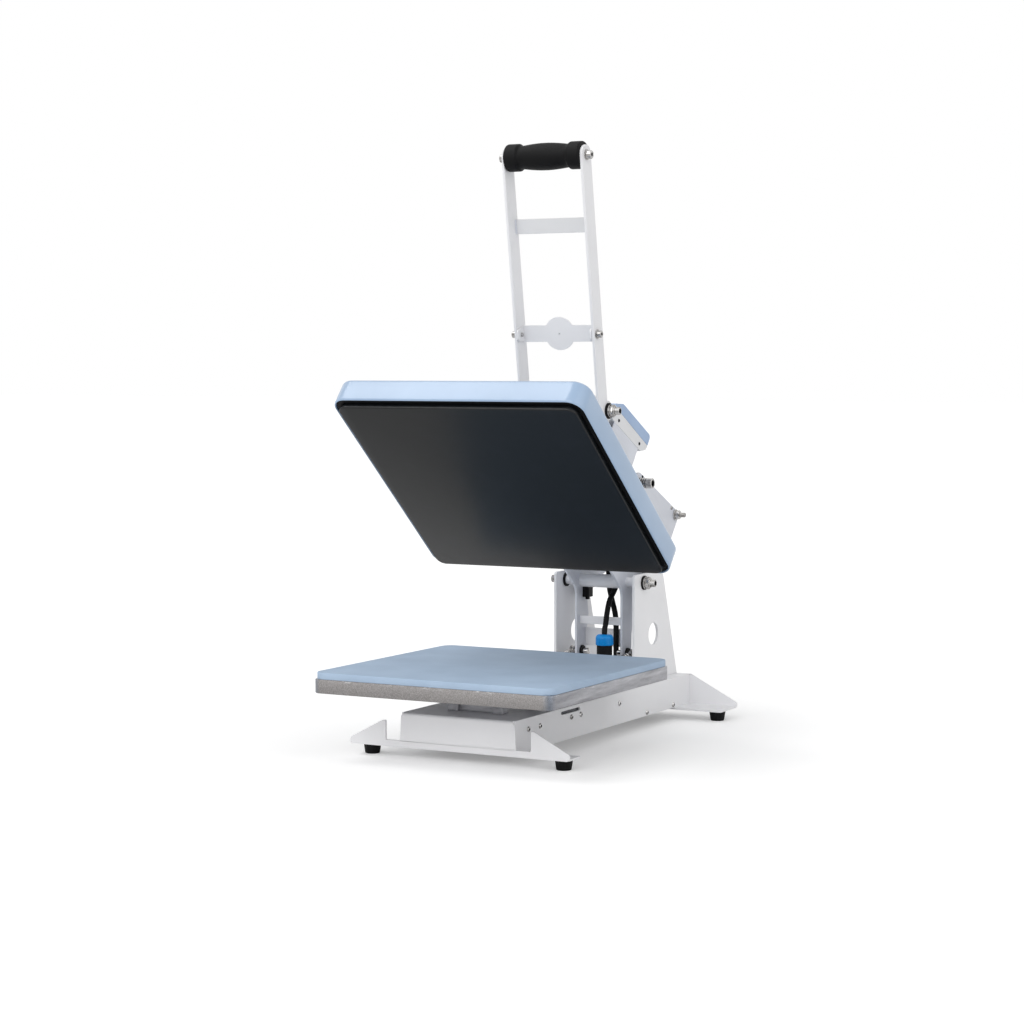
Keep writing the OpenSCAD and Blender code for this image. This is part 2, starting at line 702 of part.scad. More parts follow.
module arm_bridges() {
    color("#d4d5d7") in_head() {
        // Nut block of the pressure screw
        on_head(screw_u, 0) difference() {
            translate([-arm_x, -nut_block / 2, -bridge_low]) cube([2 * arm_x, nut_block, bridge_h]);
            translate([0, 0, -bridge_low - 1]) cylinder(r = screw_r_in + fit, h = bridge_h + 2);
        }
        // Shelf of the holding magnet
        on_magnet() translate([-arm_x, -24, -magnet_h - shelf_t]) cube([2 * arm_x, 48, shelf_t]);
    }
}
module pressure_knob() {
    screw_end = saddle_t + air - cover_top;
    collar_n = bridge_h - bridge_low + 1;
    collar_h = 5;
    grip_h = 20;
    color("#19191b") in_head() on_head(screw_u, 0) {
        translate([0, 0, screw_end]) cylinder(r = screw_r_in, h = collar_n - screw_end + 1);
        translate([0, 0, collar_n]) cylinder(r = 11, h = collar_h + 1);
        translate([0, 0, collar_n + collar_h]) difference() {
            cylinder(r = knob_r, h = grip_h);
            for (a = [0:45:315]) rotate(a) translate([knob_r + 3, 0, -1]) cylinder(r = 6, h = grip_h + 2);
        }
    }
}

// Head
module rim_post(r, h, edge) {
    rotate_extrude() difference() {
        square([r, h]);
        translate([r - edge, h - edge]) difference() {
            square(edge + 1);
            circle(edge);
        }
    }
}
module cover_form(wall) {
    edge = 5;
    post = head_w / 2 - head_r;
    hull() for (x = [-post, post], y = [-post, post])
        translate([x, y, 0]) rim_post(head_r - wall, cover_h - wall, edge - wall, $fn = 40);
}
module head_cover() {
    color("#aecbe9") in_head() on_head(head_mid, -rim_low) difference() {
        cover_form(0);
        translate([0, 0, -0.01]) cover_form(cover_wall);
    }
}
module insulation_board() {
    color("#d8d2c2") in_head() on_head(head_mid, -heat_top)
        slab(heat_w - 2 * board_inset, heat_w - 2 * board_inset,
            heat_top - cover_top - cover_wall - 0.02, plate_r - 2);
}
module heating_plate() {
    color("#1a1d20") in_head() on_head(head_mid, -heat_low) slab(heat_w, heat_w, heat_t, plate_r);
}

// Holding magnet that the armature disc meets when the press is closed
handle_closed = 90 - open_tilt - handle_lean - handle_ratio * open_tilt;
magnet_r = disc_d / 2 - 2;
magnet_h = 26;
shelf_t = 4;
strap_f = 9;
magnet_gap = 1.8;
function at_closed_handle(along, under) = [axle_u, axle_n] + along * [cos(handle_closed), sin(handle_closed)]
    + under * [sin(handle_closed), -cos(handle_closed)];
magnet_face = at_closed_handle(armature_at, strap_f + 3 + magnet_gap);
module on_magnet() { on_head(magnet_face.x, magnet_face.y) rotate([-handle_closed, 0, 0]) children(); }
module electromagnet() {
    color("#3a3d42") in_head() on_magnet() translate([0, 0, -magnet_h]) difference() {
        cylinder(r = magnet_r, h = magnet_h);
        translate([0, 0, magnet_h - 1]) difference() {
            cylinder(r = magnet_r - 4, h = 2);
            translate([0, 0, -1]) cylinder(r = 9, h = 4);
        }
    }
}

// Control box on the front towers
tray_side = [arm(107, 186, 0), arm(108, 177, 5), arm(tray_rear.x, tray_rear.y, 5),
    arm(tray_front.x, tray_front.y, 8), arm(237, 160.5, 0)];
// Ends of the panel that carries the display and the buttons
panel_rear = [108, 205];
panel_front = [215, 182];
panel_mid = (panel_rear + panel_front) / 2;
panel_slope = atan2(panel_rear.y - panel_front.y, panel_front.x - panel_rear.x);
cover_side = [arm(107, 186.3, 0), arm(237, 160.8, 0), arm(236, 166, 4), arm(panel_front.x, panel_front.y, 8),
    arm(panel_rear.x, panel_rear.y, 6)];
module control_tray() {
    color("#c3c6ca") in_head() side_plate(-box_x, 2 * box_x, tray_side);
}
// The panel's middle, with Z square to the sloping top face
module on_panel() { on_head(panel_mid.x, panel_mid.y) rotate([panel_slope, 0, 0]) children(); }
// The display's window in the panel
window = [72, 36];
window_low = -6;
window_deep = 1.5;
button_places = [[-30, -26], [0, -26], [30, -26]];
button_r = 6;
button_deep = 4;
module control_cover() {
    color("#aecbe9") in_head() difference() {
        side_plate(-box_x, 2 * box_x, cover_side);
        on_panel() {
            translate([-window.x / 2, window_low, -window_deep]) cube([window.x, window.y, 4]);
            for (p = button_places) translate([p.x, p.y, -button_deep]) cylinder(r = button_r + air, h = 8);
        }
    }
}
module control_display() {
    color("#101820") in_head() on_panel() translate([-window.x / 2 + air, window_low + air, -window_deep])
        cube([window.x - 2 * air, window.y - 2 * air, window_deep - 0.3]);
}
module button(i) {
    in_head() on_panel() translate([button_places[i].x, button_places[i].y, -button_deep + 1.3])
        cylinder(r = button_r, h = button_deep + 0.2);
}
module button_up() { color("#e8eaec") button(0); }
module button_down() { color("#e8eaec") button(1); }
module button_set() { color("#d8432f") button(2); }

// Handle, drawn from its axle with the bars along Z and the operator's side towards -Y
bar_mid = -bar_w / 2;
grip_y = bar_mid;
grip_rod_r = 4;
armature_y = -20;
armature_pin_r = 3;
module handle_bar() {
    difference() {
        union() {
            translate([0, bar_mid, (handle_len + crank.y) / 2])
                side_plate(bar_x, bar_t, rect(bar_w, handle_len - crank.y + bar_w, bar_w / 2 - 0.5));
            rod(15.5, bar_x, bar_out);
        }
        rod(bush_r + fit, bar_x - 1, bar_out + 1);
        translate([0, grip_y, handle_len]) rod(grip_rod_r + fit, bar_x - 1, bar_out + 1);
        translate([0, armature_y, armature_at]) rod(armature_pin_r + fit, bar_x - 1, bar_out + 1);
    }
}
module handle_bar_right() { color("#f4f4f6") in_handle() handle_bar(); }
module handle_bar_left() { color("#f4f4f6") in_handle() left_side() handle_bar(); }
module handle_crossbar() {
    cross_h = 22;
    cross_t = 4;
    cross_down = 103;
    color("#f4f4f6") in_handle()
        translate([-bar_x, -8, handle_len - cross_down - cross_h / 2]) cube([2 * bar_x, cross_t, cross_h]);
}
module handle_bushes() {
    color("#151517") in_handle() both_sides() difference() {
        union() {
            rod(bush_r, bar_x, bar_out);
            rod(flange_r + 1, bar_out, bar_out + flange_t);
            rod(flange_r, bar_x - bar_flange, bar_x);
        }
        rod(shaft_r + fit, bar_x - bar_flange - 1, bar_out + flange_t + 1);
    }
}

module handle_grip() {
    half = bar_x - 0.5;
    full = grip_d / 2;
    neck = full - 3;
    collar = 20;
    swell = 14;
    color("#161618") in_handle() translate([0, grip_y, handle_len]) rotate([0, 90, 0]) difference() {
        rotate_extrude() polygon([[0, -half], [full - 1.5, -half], [full, -half + 1.5], [full, -half + collar],
            [neck, -half + collar + 3], [neck, -half + collar + 7], [full - 1, -swell], [full, 0],
            [full - 1, swell],
            [neck, half - collar - 7], [neck, half - collar - 3], [full, half - collar], [full, half - 1.5],
            [full - 1.5, half], [0, half]]);
        translate([0, 0, -half - 1]) cylinder(r = grip_rod_r + fit, h = 2 * half + 2);
    }
}

module handle_fittings() {
    grip_end = bar_out + 9;
    color("#c9cacc") in_handle() {
        // Grip rod with its nuts
        translate([0, grip_y, handle_len]) {
            rod(grip_rod_r, -grip_end, grip_end);
            both_sides() {
                ring(8, grip_rod_r - 0.1, bar_out, bar_out + 1.5);
                hex_nut(13, grip_rod_r - 0.1, bar_out + 1.5, bar_out + 7);
            }
        }
        // Pins that the armature bar swings on
        translate([0, armature_y, armature_at]) both_sides() {
            rod(armature_pin_r, bar_x - 5, bar_out + 8);
            ring(7, armature_pin_r - 0.1, bar_out, bar_out + 1.5);
            hex_nut(10, armature_pin_r - 0.1, bar_out + 1.5, bar_out + 6);
        }
        // Pins for the toggle links
        translate([0, crank.x, crank.y]) both_sides() {
            rod(link_pin_r, link_in - 3.5, bar_x);
            rod(link_pin_r + 3.5, link_in - 2.5 - air, link_in - air);
        }
    }
}

module armature_bar() {
    strap_h = 25;
    tab = 22;
    half = bar_x - air;
    back = -strap_f;
    color("#f4f4f6") in_handle() translate([0, 0, armature_at]) difference() {
        union() {
            translate([-half, back - 3, -strap_h / 2]) cube([2 * half, 3, strap_h]);
            translate([0, back, 0]) rotate([90, 0, 0]) cylinder(d = disc_d, h = 3);
            both_sides() side_plate(half - 3, 3, [[back, -strap_h / 2, 0], [back, strap_h / 2, 0],
                [back - tab, strap_h / 2 - 4, 6], [back - tab, -strap_h / 2 + 4, 6]]);
        }
        both_sides() translate([0, armature_y, 0]) rod(armature_pin_r + fit, half - 4, half + 1);
        translate([0, back - 2, 0]) rotate([90, 0, 0]) cylinder(r = 1.5, h = 2);
    }
}

// Toggle links, drawn from the pivot on the uprights along X towards the handle
function way(p, i) = unit(p[i + 1] - p[i]);
function side(p, i) = let (b = way(p, min(i, len(p) - 2)), m = unit(way(p, max(i - 1, 0)) + b))
    [-m.y, m.x] / (m * b);
// Outline of a strap of width w along the points p, its bends rounded by r
function strap(p, w, r) = let (n = len(p), half = [for (i = [0:n - 1]) side(p, i) * w / 2],
    left = [for (i = [0:n - 1]) p[i] + half[i]], right = [for (i = [n - 1:-1:0]) p[i] - half[i]])
    [for (q = concat(left, right)) [q.x, q.y, q.x < w || q.x > p[n - 1].x - w ? 0 : r]];
function link_place(p) = let (q = turn(p, link_tilt)) [-q.x, q.y];
module at_link(p) { translate([0, link_place(p).x, link_place(p).y]) children(); }
module toggle_link() {
    bow = 26;
    eye = link_pin_r + link_play + 6;
    far_end = [link_len, 0];
    points = [[0, 0], [38, bow], [link_len - 88, bow], far_end];
    at_hinge() translate([0, link_back, -link_down]) difference() {
        union() {
            side_plate(link_in, link_t, [for (q = strap(points, link_w, 15)) concat(link_place(q), q[2])]);
            rod(eye, link_in, link_out);
            at_link(far_end) rod(eye, link_in, link_out);
        }
        rod(link_pin_r + fit, link_in - 1, link_out + 1);
        at_link(far_end) rod(link_pin_r + link_play, link_in - 1, link_out + 1);
    }
}
module toggle_link_right() { color("#c4c5c8") toggle_link(); }
module toggle_link_left() { color("#c4c5c8") left_side() toggle_link(); }

rubber_feet();
front_bracket();
rear_bracket();
base_rail_left();
base_rail_right();
base_top();
base_screws();
upright_left();
upright_right();
upright_bolts();
pivot_bushes();
link_studs();
platen_mount();
lower_platen();
silicone_pad();
spring_anchor();
return_spring_left();
return_spring_right();
power_inlet();
switch_frame();
power_rocker();
relay_module();
cable_socket();
cable_nut();
heater_cable();
control_cable();
arm_left();
arm_right();
pivot_shaft();
spacer_tubes();
shaft_nuts();
leg_strips();
spring_pins();
spring_bushes();
arm_bolts();
handle_axle();
cable_glands();
closing_switch();
head_saddle();
arm_bridges();
pressure_knob();
head_cover();
insulation_board();
heating_plate();
electromagnet();
control_tray();
control_cover();
control_display();
button_up();
button_down();
button_set();
handle_bar_left();
handle_bar_right();
handle_crossbar();
handle_bushes();
handle_grip();
handle_fittings();
armature_bar();
toggle_link_left();
toggle_link_right();
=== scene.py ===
# %% [markdown]
# # A flat heat press, dressed in Blender
#
# The press is a clamshell: a low base with a padded platen, a heated head on two arm plates, and a long
# handle that pulls the head down. Its solids come from CAD as a fixed frame, in metres, and this lesson
# gives them their finishes, and models the soft, wound and rounded pieces that the solids only stand for.
# Each cell makes one thing and prints what it made.

import json
import math

import bmesh
import bpy
from mathutils import Matrix, Vector

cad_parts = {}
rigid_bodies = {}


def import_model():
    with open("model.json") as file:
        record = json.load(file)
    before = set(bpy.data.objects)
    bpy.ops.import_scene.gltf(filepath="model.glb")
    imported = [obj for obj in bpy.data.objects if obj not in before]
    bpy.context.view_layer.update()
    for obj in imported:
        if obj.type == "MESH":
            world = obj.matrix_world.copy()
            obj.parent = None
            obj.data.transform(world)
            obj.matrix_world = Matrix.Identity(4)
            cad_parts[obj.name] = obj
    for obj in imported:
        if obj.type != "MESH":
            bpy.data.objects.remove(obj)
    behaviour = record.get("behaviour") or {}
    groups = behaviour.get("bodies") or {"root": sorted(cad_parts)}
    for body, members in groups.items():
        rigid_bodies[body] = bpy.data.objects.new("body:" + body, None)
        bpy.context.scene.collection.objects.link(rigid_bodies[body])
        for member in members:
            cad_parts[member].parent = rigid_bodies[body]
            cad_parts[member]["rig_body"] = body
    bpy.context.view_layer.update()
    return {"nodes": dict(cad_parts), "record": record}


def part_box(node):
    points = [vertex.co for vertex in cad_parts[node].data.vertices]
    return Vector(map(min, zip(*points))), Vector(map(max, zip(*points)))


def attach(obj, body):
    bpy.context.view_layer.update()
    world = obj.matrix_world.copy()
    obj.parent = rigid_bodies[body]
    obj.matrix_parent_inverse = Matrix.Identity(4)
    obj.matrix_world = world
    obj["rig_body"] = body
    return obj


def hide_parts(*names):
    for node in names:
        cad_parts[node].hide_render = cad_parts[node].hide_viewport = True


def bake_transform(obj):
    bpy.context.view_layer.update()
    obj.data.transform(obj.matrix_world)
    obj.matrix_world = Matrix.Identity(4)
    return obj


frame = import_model()
nodes = frame["nodes"]
slot_of = {part["node"]: part["material_slot"] for part in frame["record"]["subparts"]}

# %% [markdown]
# ## The camera
#
# The photograph is taken from the front right, a little above the platen. Its lens and place were found
# by fitting the platen's corners, so the camera is simply put there. It could be aimed with a constraint,
# but plain angles are easier to read.

# %% Place the camera
CAMERA_PLACE = (1.663, -3.19584, 0.5597)
CAMERA_TURN = (math.radians(86.48), 0.0, math.radians(28.43))
LENS, SENSOR = 84.73, 36

bpy.ops.object.select_all(action="DESELECT")
bpy.ops.object.camera_add(location=CAMERA_PLACE, rotation=CAMERA_TURN)
camera = bpy.context.object
camera.name = "photo_camera"
camera.data.lens = LENS
camera.data.sensor_width = SENSOR
bpy.context.scene.camera = camera
print("camera:", camera.data.lens, "mm lens")

# %% [markdown]
# ## Places on the moving parts
#
# The head stands open by 40 degrees, and the handle leans towards the operator, so pieces for them are
# drawn flat first and then carried over. A matrix per part does that: for the head, x runs across, y runs
# back and z is square to the heated plate, all from the hinge. `settle` applies the move to the mesh, so
# that every object ends up at the origin, as the CAD nodes do.

# %% Places on the moving parts
MM = 0.001
HINGE = Vector((0, 0.17616, 0.2207))
HEAD = Matrix.Translation(HINGE) @ Matrix.Rotation(math.radians(-40), 4, "X")
AXLE = Vector((0, 0.055435, 0.489092))
HANDLE = Matrix.Translation(AXLE) @ Matrix.Rotation(math.radians(8.9), 4, "X")
BASE = Matrix.Identity(4)
GRIP_PLACE = HANDLE @ Matrix.Translation(Vector((0, -15, 383)) * MM)
ACROSS = Matrix.Rotation(math.radians(90), 4, "Y")


def at(x, y, z):
    """A move, given in millimetres."""
    return Matrix.Translation(Vector((x, y, z)) * MM)


def only(obj):
    """Select this object alone and make it active."""
    bpy.ops.object.select_all(action="DESELECT")
    obj.select_set(True)
    bpy.context.view_layer.objects.active = obj


def settle(obj, place=BASE):
    """Carry a finished object to its place and put that place into its mesh."""
    bpy.context.view_layer.update()
    obj.matrix_world = place @ obj.matrix_world
    only(obj)
    bpy.ops.object.transform_apply(location=True, rotation=True, scale=True)
    return obj


def smooth(obj, degrees=35):
    only(obj)
    bpy.ops.object.shade_smooth_by_angle(angle=math.radians(degrees))
    return obj


def tell(piece):
    """Print what a cell made."""
    print(piece.name, len(piece.data.polygons), "faces")


def rounded(values, places=4):
    return [round(v, places) for v in values]


print("head at", rounded(HEAD.translation), "handle at", rounded(HANDLE.translation))

# %% [markdown]
# ## Finishes: the shared effects
#
# Powder coat, castings and turned metal all have a surface that is never quite even. Those effects are
# used by many finishes, so each is a node group with its own sockets: clouds and peel for paint, grain for
# castings and moulded plastic, and streaks for metal that was rubbed in one direction. A group only puts
# out values, and each finish decides what they change.


# %% A node group with named sockets
def effect(name, inputs, outputs):
    """An empty group: inputs are (name, kind, value), outputs are names of values."""
    group = bpy.data.node_groups.new(name, "ShaderNodeTree")
    for label, kind, value in inputs:
        socket = group.interface.new_socket(label, in_out="INPUT", socket_type=kind)
        if value is not None:
            socket.default_value = value
    for label in outputs:
        group.interface.new_socket(label, in_out="OUTPUT", socket_type="NodeSocketFloat")
    return group, group.nodes.new("NodeGroupInput"), group.nodes.new("NodeGroupOutput")


VECTOR = ("Vector", "NodeSocketVector", None)


def number(label, value):
    return (label, "NodeSocketFloat", value)


def noise_in(tree, vector, scale, detail=4.0, roughness=0.55):
    """A noise texture on this vector, whose scale is a number or another socket."""
    node = tree.nodes.new("ShaderNodeTexNoise")
    node.inputs["Detail"].default_value = detail
    node.inputs["Roughness"].default_value = roughness
    tree.links.new(vector, node.inputs["Vector"])
    if isinstance(scale, (int, float)):
        node.inputs["Scale"].default_value = scale
    else:
        tree.links.new(scale, node.inputs["Scale"])
    return node.outputs[0]


def spread(tree, value, low, high, to_low=0.0, to_high=1.0):
    """Stretch the part of a value between low and high."""
    node = tree.nodes.new("ShaderNodeMapRange")
    for label, number_in in zip(("From Min", "From Max", "To Min", "To Max"), (low, high, to_low, to_high)):
        node.inputs[label].default_value = number_in
    tree.links.new(value, node.inputs["Value"])
    return node.outputs["Result"]


# %% Paint skin: clouds of tone and the peel of a powder coat
paint_skin, skin_in, skin_out = effect(
    "paint skin", [VECTOR, number("Cloud Size", 9.0), number("Peel Size", 900.0)], ["Clouds", "Peel"])
clouds = noise_in(paint_skin, skin_in.outputs["Vector"], skin_in.outputs["Cloud Size"])
paint_skin.links.new(spread(paint_skin, clouds, 0.3, 0.7), skin_out.inputs["Clouds"])
peel = noise_in(paint_skin, skin_in.outputs["Vector"], skin_in.outputs["Peel Size"], detail=2.0)
paint_skin.links.new(peel, skin_out.inputs["Peel"])
print("effect:", paint_skin.name)

# %% Grain: the pits of a casting or of moulded plastic
grain, grain_in, grain_out = effect("grain", [VECTOR, number("Size", 500.0)], ["Pits", "Specks"])
cells = grain.nodes.new("ShaderNodeTexVoronoi")
grain.links.new(grain_in.outputs["Vector"], cells.inputs["Vector"])
grain.links.new(grain_in.outputs["Size"], cells.inputs["Scale"])
grain.links.new(spread(grain, cells.outputs["Distance"], 0.1, 0.7), grain_out.inputs["Pits"])
specks = noise_in(grain, grain_in.outputs["Vector"], grain_in.outputs["Size"], detail=5.0, roughness=0.7)
grain.links.new(spread(grain, specks, 0.35, 0.65), grain_out.inputs["Specks"])
print("effect:", grain.name)

# %% Streaks: marks rubbed along one direction
streaks, streaks_in, streaks_out = effect("streaks", [VECTOR, ("Stretch", "NodeSocketVector", (8, 300, 300))],
                                          ["Lines", "Rubs"])
stretch = streaks.nodes.new("ShaderNodeVectorMath")
stretch.operation = "MULTIPLY"
streaks.links.new(streaks_in.outputs["Vector"], stretch.inputs[0])
streaks.links.new(streaks_in.outputs["Stretch"], stretch.inputs[1])
lines = noise_in(streaks, stretch.outputs[0], 1.0, detail=6.0, roughness=0.65)
streaks.links.new(spread(streaks, lines, 0.3, 0.7), streaks_out.inputs["Lines"])
rubs = noise_in(streaks, streaks_in.outputs["Vector"], 22.0, detail=5.0, roughness=0.7)
streaks.links.new(spread(streaks, rubs, 0.52, 0.7), streaks_out.inputs["Rubs"])
print("effect:", streaks.name)

# %% [markdown]
# ## Finishes: the materials
#
# Every finish starts from the Principled shader. Its constants are set on the shader, and what changes
# over the surface comes from the groups: a light and a dark tone mixed by the clouds, a roughness that
# wanders, and a bump. Reading Object coordinates keeps the pattern at real size on every piece.


# %% Tools for building a finish
def srgb(code):
    """The linear colour of a hex code."""
    parts = [int(code[i:i + 2], 16) / 255 for i in (1, 3, 5)]
    return tuple(p / 12.92 if p <= 0.04045 else ((p + 0.055) / 1.055) ** 2.4 for p in parts) + (1.0,)


def start_finish(name, roughness, metallic=0.0, **constants):
    """A new material with its shader, coordinates and constants."""
    material = bpy.data.materials.new("finish_" + name)
    material.use_nodes = True
    tree = material.node_tree
    shader = tree.nodes["Principled BSDF"]
    shader.inputs["Roughness"].default_value = roughness
    shader.inputs["Metallic"].default_value = metallic
    for label, value in constants.items():
        shader.inputs[label.replace("_", " ")].default_value = value
    coords = tree.nodes.new("ShaderNodeTexCoord")
    return material, tree, shader, coords.outputs["Object"]


def use_effect(tree, group, vector, **values):
    """Place a shared effect in a material, with its own values."""
    node = tree.nodes.new("ShaderNodeGroup")
    node.node_tree = group
    tree.links.new(vector, node.inputs["Vector"])
    for label, value in values.items():
        node.inputs[label.replace("_", " ")].default_value = value
    return node.outputs


def tones(tree, mask, dark, light):
    """A colour between two tones, by a mask. A tone is a hex code or another colour socket."""
    mix = tree.nodes.new("ShaderNodeMix")
    mix.data_type = "RGBA"
    tree.links.new(mask, mix.inputs[0])
    for socket, tone in ((mix.inputs[6], dark), (mix.inputs[7], light)):
        if isinstance(tone, str):
            socket.default_value = srgb(tone)
        else:
            tree.links.new(tone, socket)
    return mix.outputs[2]


def bump(tree, shader, height, strength, depth):
    node = tree.nodes.new("ShaderNodeBump")
    node.inputs["Strength"].default_value = strength
    node.inputs["Distance"].default_value = depth
    tree.links.new(height, node.inputs["Height"])
    tree.links.new(node.outputs["Normal"], shader.inputs["Normal"])


finishes = {}


# %% Powder coats: the white frame, the blue covers, the grey tray
def powder_coat(name, dark, light, rough_low, rough_high, cloud=7.0, peel_size=1100.0, **constants):
    material, tree, shader, coords = start_finish(name, rough_low, **constants)
    skin = use_effect(tree, paint_skin, coords, Cloud_Size=cloud, Peel_Size=peel_size)
    tree.links.new(tones(tree, skin["Clouds"], dark, light), shader.inputs["Base Color"])
    tree.links.new(spread(tree, skin["Clouds"], 0, 1, rough_high, rough_low), shader.inputs["Roughness"])
    bump(tree, shader, skin["Peel"], 0.12, 0.0002)
    finishes[name] = material


powder_coat("white_paint", "#ebebed", "#f2f2f4", 0.36, 0.46)
powder_coat("arm_paint", "#d1d4dc", "#dcdfe7", 0.36, 0.46, cloud=9.0)
powder_coat("cover_blue", "#92abc8", "#a0b9d6", 0.285, 0.34, cloud=6.0, Coat_Weight=0.7, Coat_Roughness=0.18)
powder_coat("box_blue", "#95aed2", "#a3bbdb", 0.30, 0.40, cloud=8.0)
powder_coat("grey_metal", "#dcddde", "#e7e7e9", 0.38, 0.48)
print("powder coats:", list(finishes))


# %% Moulded plastic and rubber
def moulded(name, dark, light, roughness, grain_size=1500.0, depth=0.00008, **constants):
    material, tree, shader, coords = start_finish(name, roughness, **constants)
    pits = use_effect(tree, grain, coords, Size=grain_size)
    tree.links.new(tones(tree, pits["Specks"], dark, light), shader.inputs["Base Color"])
    tree.links.new(spread(tree, pits["Specks"], 0, 1, roughness + 0.06, roughness - 0.04),
                   shader.inputs["Roughness"])
    bump(tree, shader, pits["Pits"], 0.25, depth)
    finishes[name] = material


moulded("black_plastic", "#040405", "#08080a", 0.55, Specular_IOR_Level=0.17)
moulded("black_rubber", "#070708", "#0f0f11", 0.6, grain_size=900.0, Specular_IOR_Level=0.2)
moulded("blue_plastic", "#0081cf", "#008fdd", 0.3, grain_size=700.0, depth=0.00003, Specular_IOR_Level=0.3)
moulded("red_plastic", "#a5231b", "#b92c22", 0.25, depth=0.00003, Coat_Weight=0.4)
moulded("pale_plastic", "#dfe1e3", "#e9ebed", 0.40)
moulded("insulation", "#c8c1b0", "#ddd7c9", 0.9, grain_size=400.0, depth=0.0006)
print("mouldings:", [n for n in finishes if n.endswith(("plastic", "rubber"))])


# %% Bare metal: zinc-plated fittings, blackened screws, ground iron
def bare_metal(name, dark, light, rough_low, rough_high, stretch_by=(300, 60, 60)):
    material, tree, shader, coords = start_finish(name, rough_low, metallic=1.0)
    marks = use_effect(tree, streaks, coords, Stretch=stretch_by)
    tree.links.new(tones(tree, marks["Lines"], dark, light), shader.inputs["Base Color"])
    tree.links.new(spread(tree, marks["Rubs"], 0, 1, rough_low, rough_high), shader.inputs["Roughness"])
    bump(tree, shader, marks["Lines"], 0.08, 0.0002)
    finishes[name] = material


bare_metal("steel", "#6f6b67", "#dfdedd", 0.16, 0.26, stretch_by=(25, 210, 210))
bare_metal("plated_steel", "#aaa9a7", "#bfbebc", 0.32, 0.42, stretch_by=(60, 14, 14))
bare_metal("dark_steel", "#1b1c1f", "#303136", 0.34, 0.5)
bare_metal("iron", "#3b3d42", "#55575c", 0.32, 0.5, stretch_by=(40, 40, 400))
print("metals: steel, plated_steel, dark_steel, iron")

# %% Dark glass of the display
material, tree, shader, coords = start_finish("dark_glass", 0.06, Coat_Weight=0.5, Coat_Roughness=0.04)
haze = use_effect(tree, paint_skin, coords, Cloud_Size=40.0)
tree.links.new(tones(tree, haze["Clouds"], "#0c141b", "#13202a"), shader.inputs["Base Color"])
tree.links.new(spread(tree, haze["Clouds"], 0, 1, 0.05, 0.12), shader.inputs["Roughness"])
finishes["dark_glass"] = material

# %% [markdown]
# ## The plate's dark coating
#
# The heated plate is aluminium under a hard, smooth, nearly black coating that shows a soft reflection of
# what lies below it. A dark base with a clear gloss gives that, and faint wiping marks change the roughness.

# %% Coating of the heated plate
material, tree, shader, coords = start_finish("heat_black", 0.29, Specular_IOR_Level=0.36)
wiping = use_effect(tree, streaks, coords, Stretch=(4, 12, 12))
tree.links.new(tones(tree, wiping["Rubs"], "#050709", "#0a0c10"), shader.inputs["Base Color"])
tree.links.new(spread(tree, wiping["Rubs"], 0, 1, 0.285, 0.30), shader.inputs["Roughness"])
finishes["heat_black"] = material
print("coating:", material.name)

# %% [markdown]
# ## The platen's casting
#
# The lower platen is a cast aluminium slab. Its front edge still has the grainy skin of the mould, in a
# warm grey, while its sides were milled and show streaks. Its corners are polished, and its top edge has
# pale flecks. One material does it all: masks made from the coordinates pick out each place.

# %% Casting of the lower platen
PLATEN_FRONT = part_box("lower_platen")[0][1]
PLATEN_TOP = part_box("lower_platen")[1][2]

material, tree, shader, coords = start_finish("cast_aluminium", 0.45, metallic=0.85)
place = tree.nodes.new("ShaderNodeSeparateXYZ")
tree.links.new(coords, place.inputs[0])
outward = tree.nodes.new("ShaderNodeMath")
outward.operation = "ABSOLUTE"
tree.links.new(place.outputs["X"], outward.inputs[0])


def both(first, second):
    """Where two masks overlap."""
    node = tree.nodes.new("ShaderNodeMath")
    node.operation = "MULTIPLY"
    tree.links.new(first, node.inputs[0])
    tree.links.new(second, node.inputs[1])
    return node.outputs[0]


front = spread(tree, place.outputs["Y"], PLATEN_FRONT + 0.006, PLATEN_FRONT + 0.001)
corner = both(spread(tree, outward.outputs[0], 0.1765, 0.186),
              spread(tree, place.outputs["Y"], PLATEN_FRONT + 0.0135, PLATEN_FRONT + 0.004))
skin = use_effect(tree, grain, coords, Size=620.0)
milled = use_effect(tree, streaks, coords, Stretch=(25, 14, 120))
# Pale flecks along the top few millimetres of the sides, set by a streak pattern.
edge_streaks = use_effect(tree, streaks, coords, Stretch=(70, 70, 260))
top_edge_flecks = both(spread(tree, place.outputs["Z"], PLATEN_TOP - 0.0035, PLATEN_TOP - 0.0005),
             spread(tree, edge_streaks["Lines"], 0.68, 0.95))
cast_tone = tones(tree, skin["Specks"], "#7f7c7b", "#a6a3a2")
milled_tone = tones(tree, milled["Lines"], "#808085", "#bebec3")
bare_tone = tones(tree, front, milled_tone, cast_tone)
shiny_tone = tones(tree, corner, bare_tone, tones(tree, milled["Lines"], "#5c626c", "#9399a3"))
tree.links.new(tones(tree, top_edge_flecks, shiny_tone, "#dedee1"), shader.inputs["Base Color"])
matt = spread(tree, front, 0, 1, 0.34, 0.6)
polish = tree.nodes.new("ShaderNodeMix")
tree.links.new(corner, polish.inputs[0])
tree.links.new(matt, polish.inputs[2])
polish.inputs[3].default_value = 0.16
tree.links.new(polish.outputs[0], shader.inputs["Roughness"])
bump(tree, shader, both(skin["Pits"], spread(tree, corner, 0, 1, 1.0, 0.1)), 0.5, 0.0004)
finishes["cast_aluminium"] = material
print("casting: front edge at y", round(PLATEN_FRONT, 4))

# %% [markdown]
# ## Silicone sponge
#
# The pad is a sheet of pale blue silicone sponge. It is matt and full
# of very fine pores, so it gets a soft cloudy tone, a roughness that wanders and fine pits.

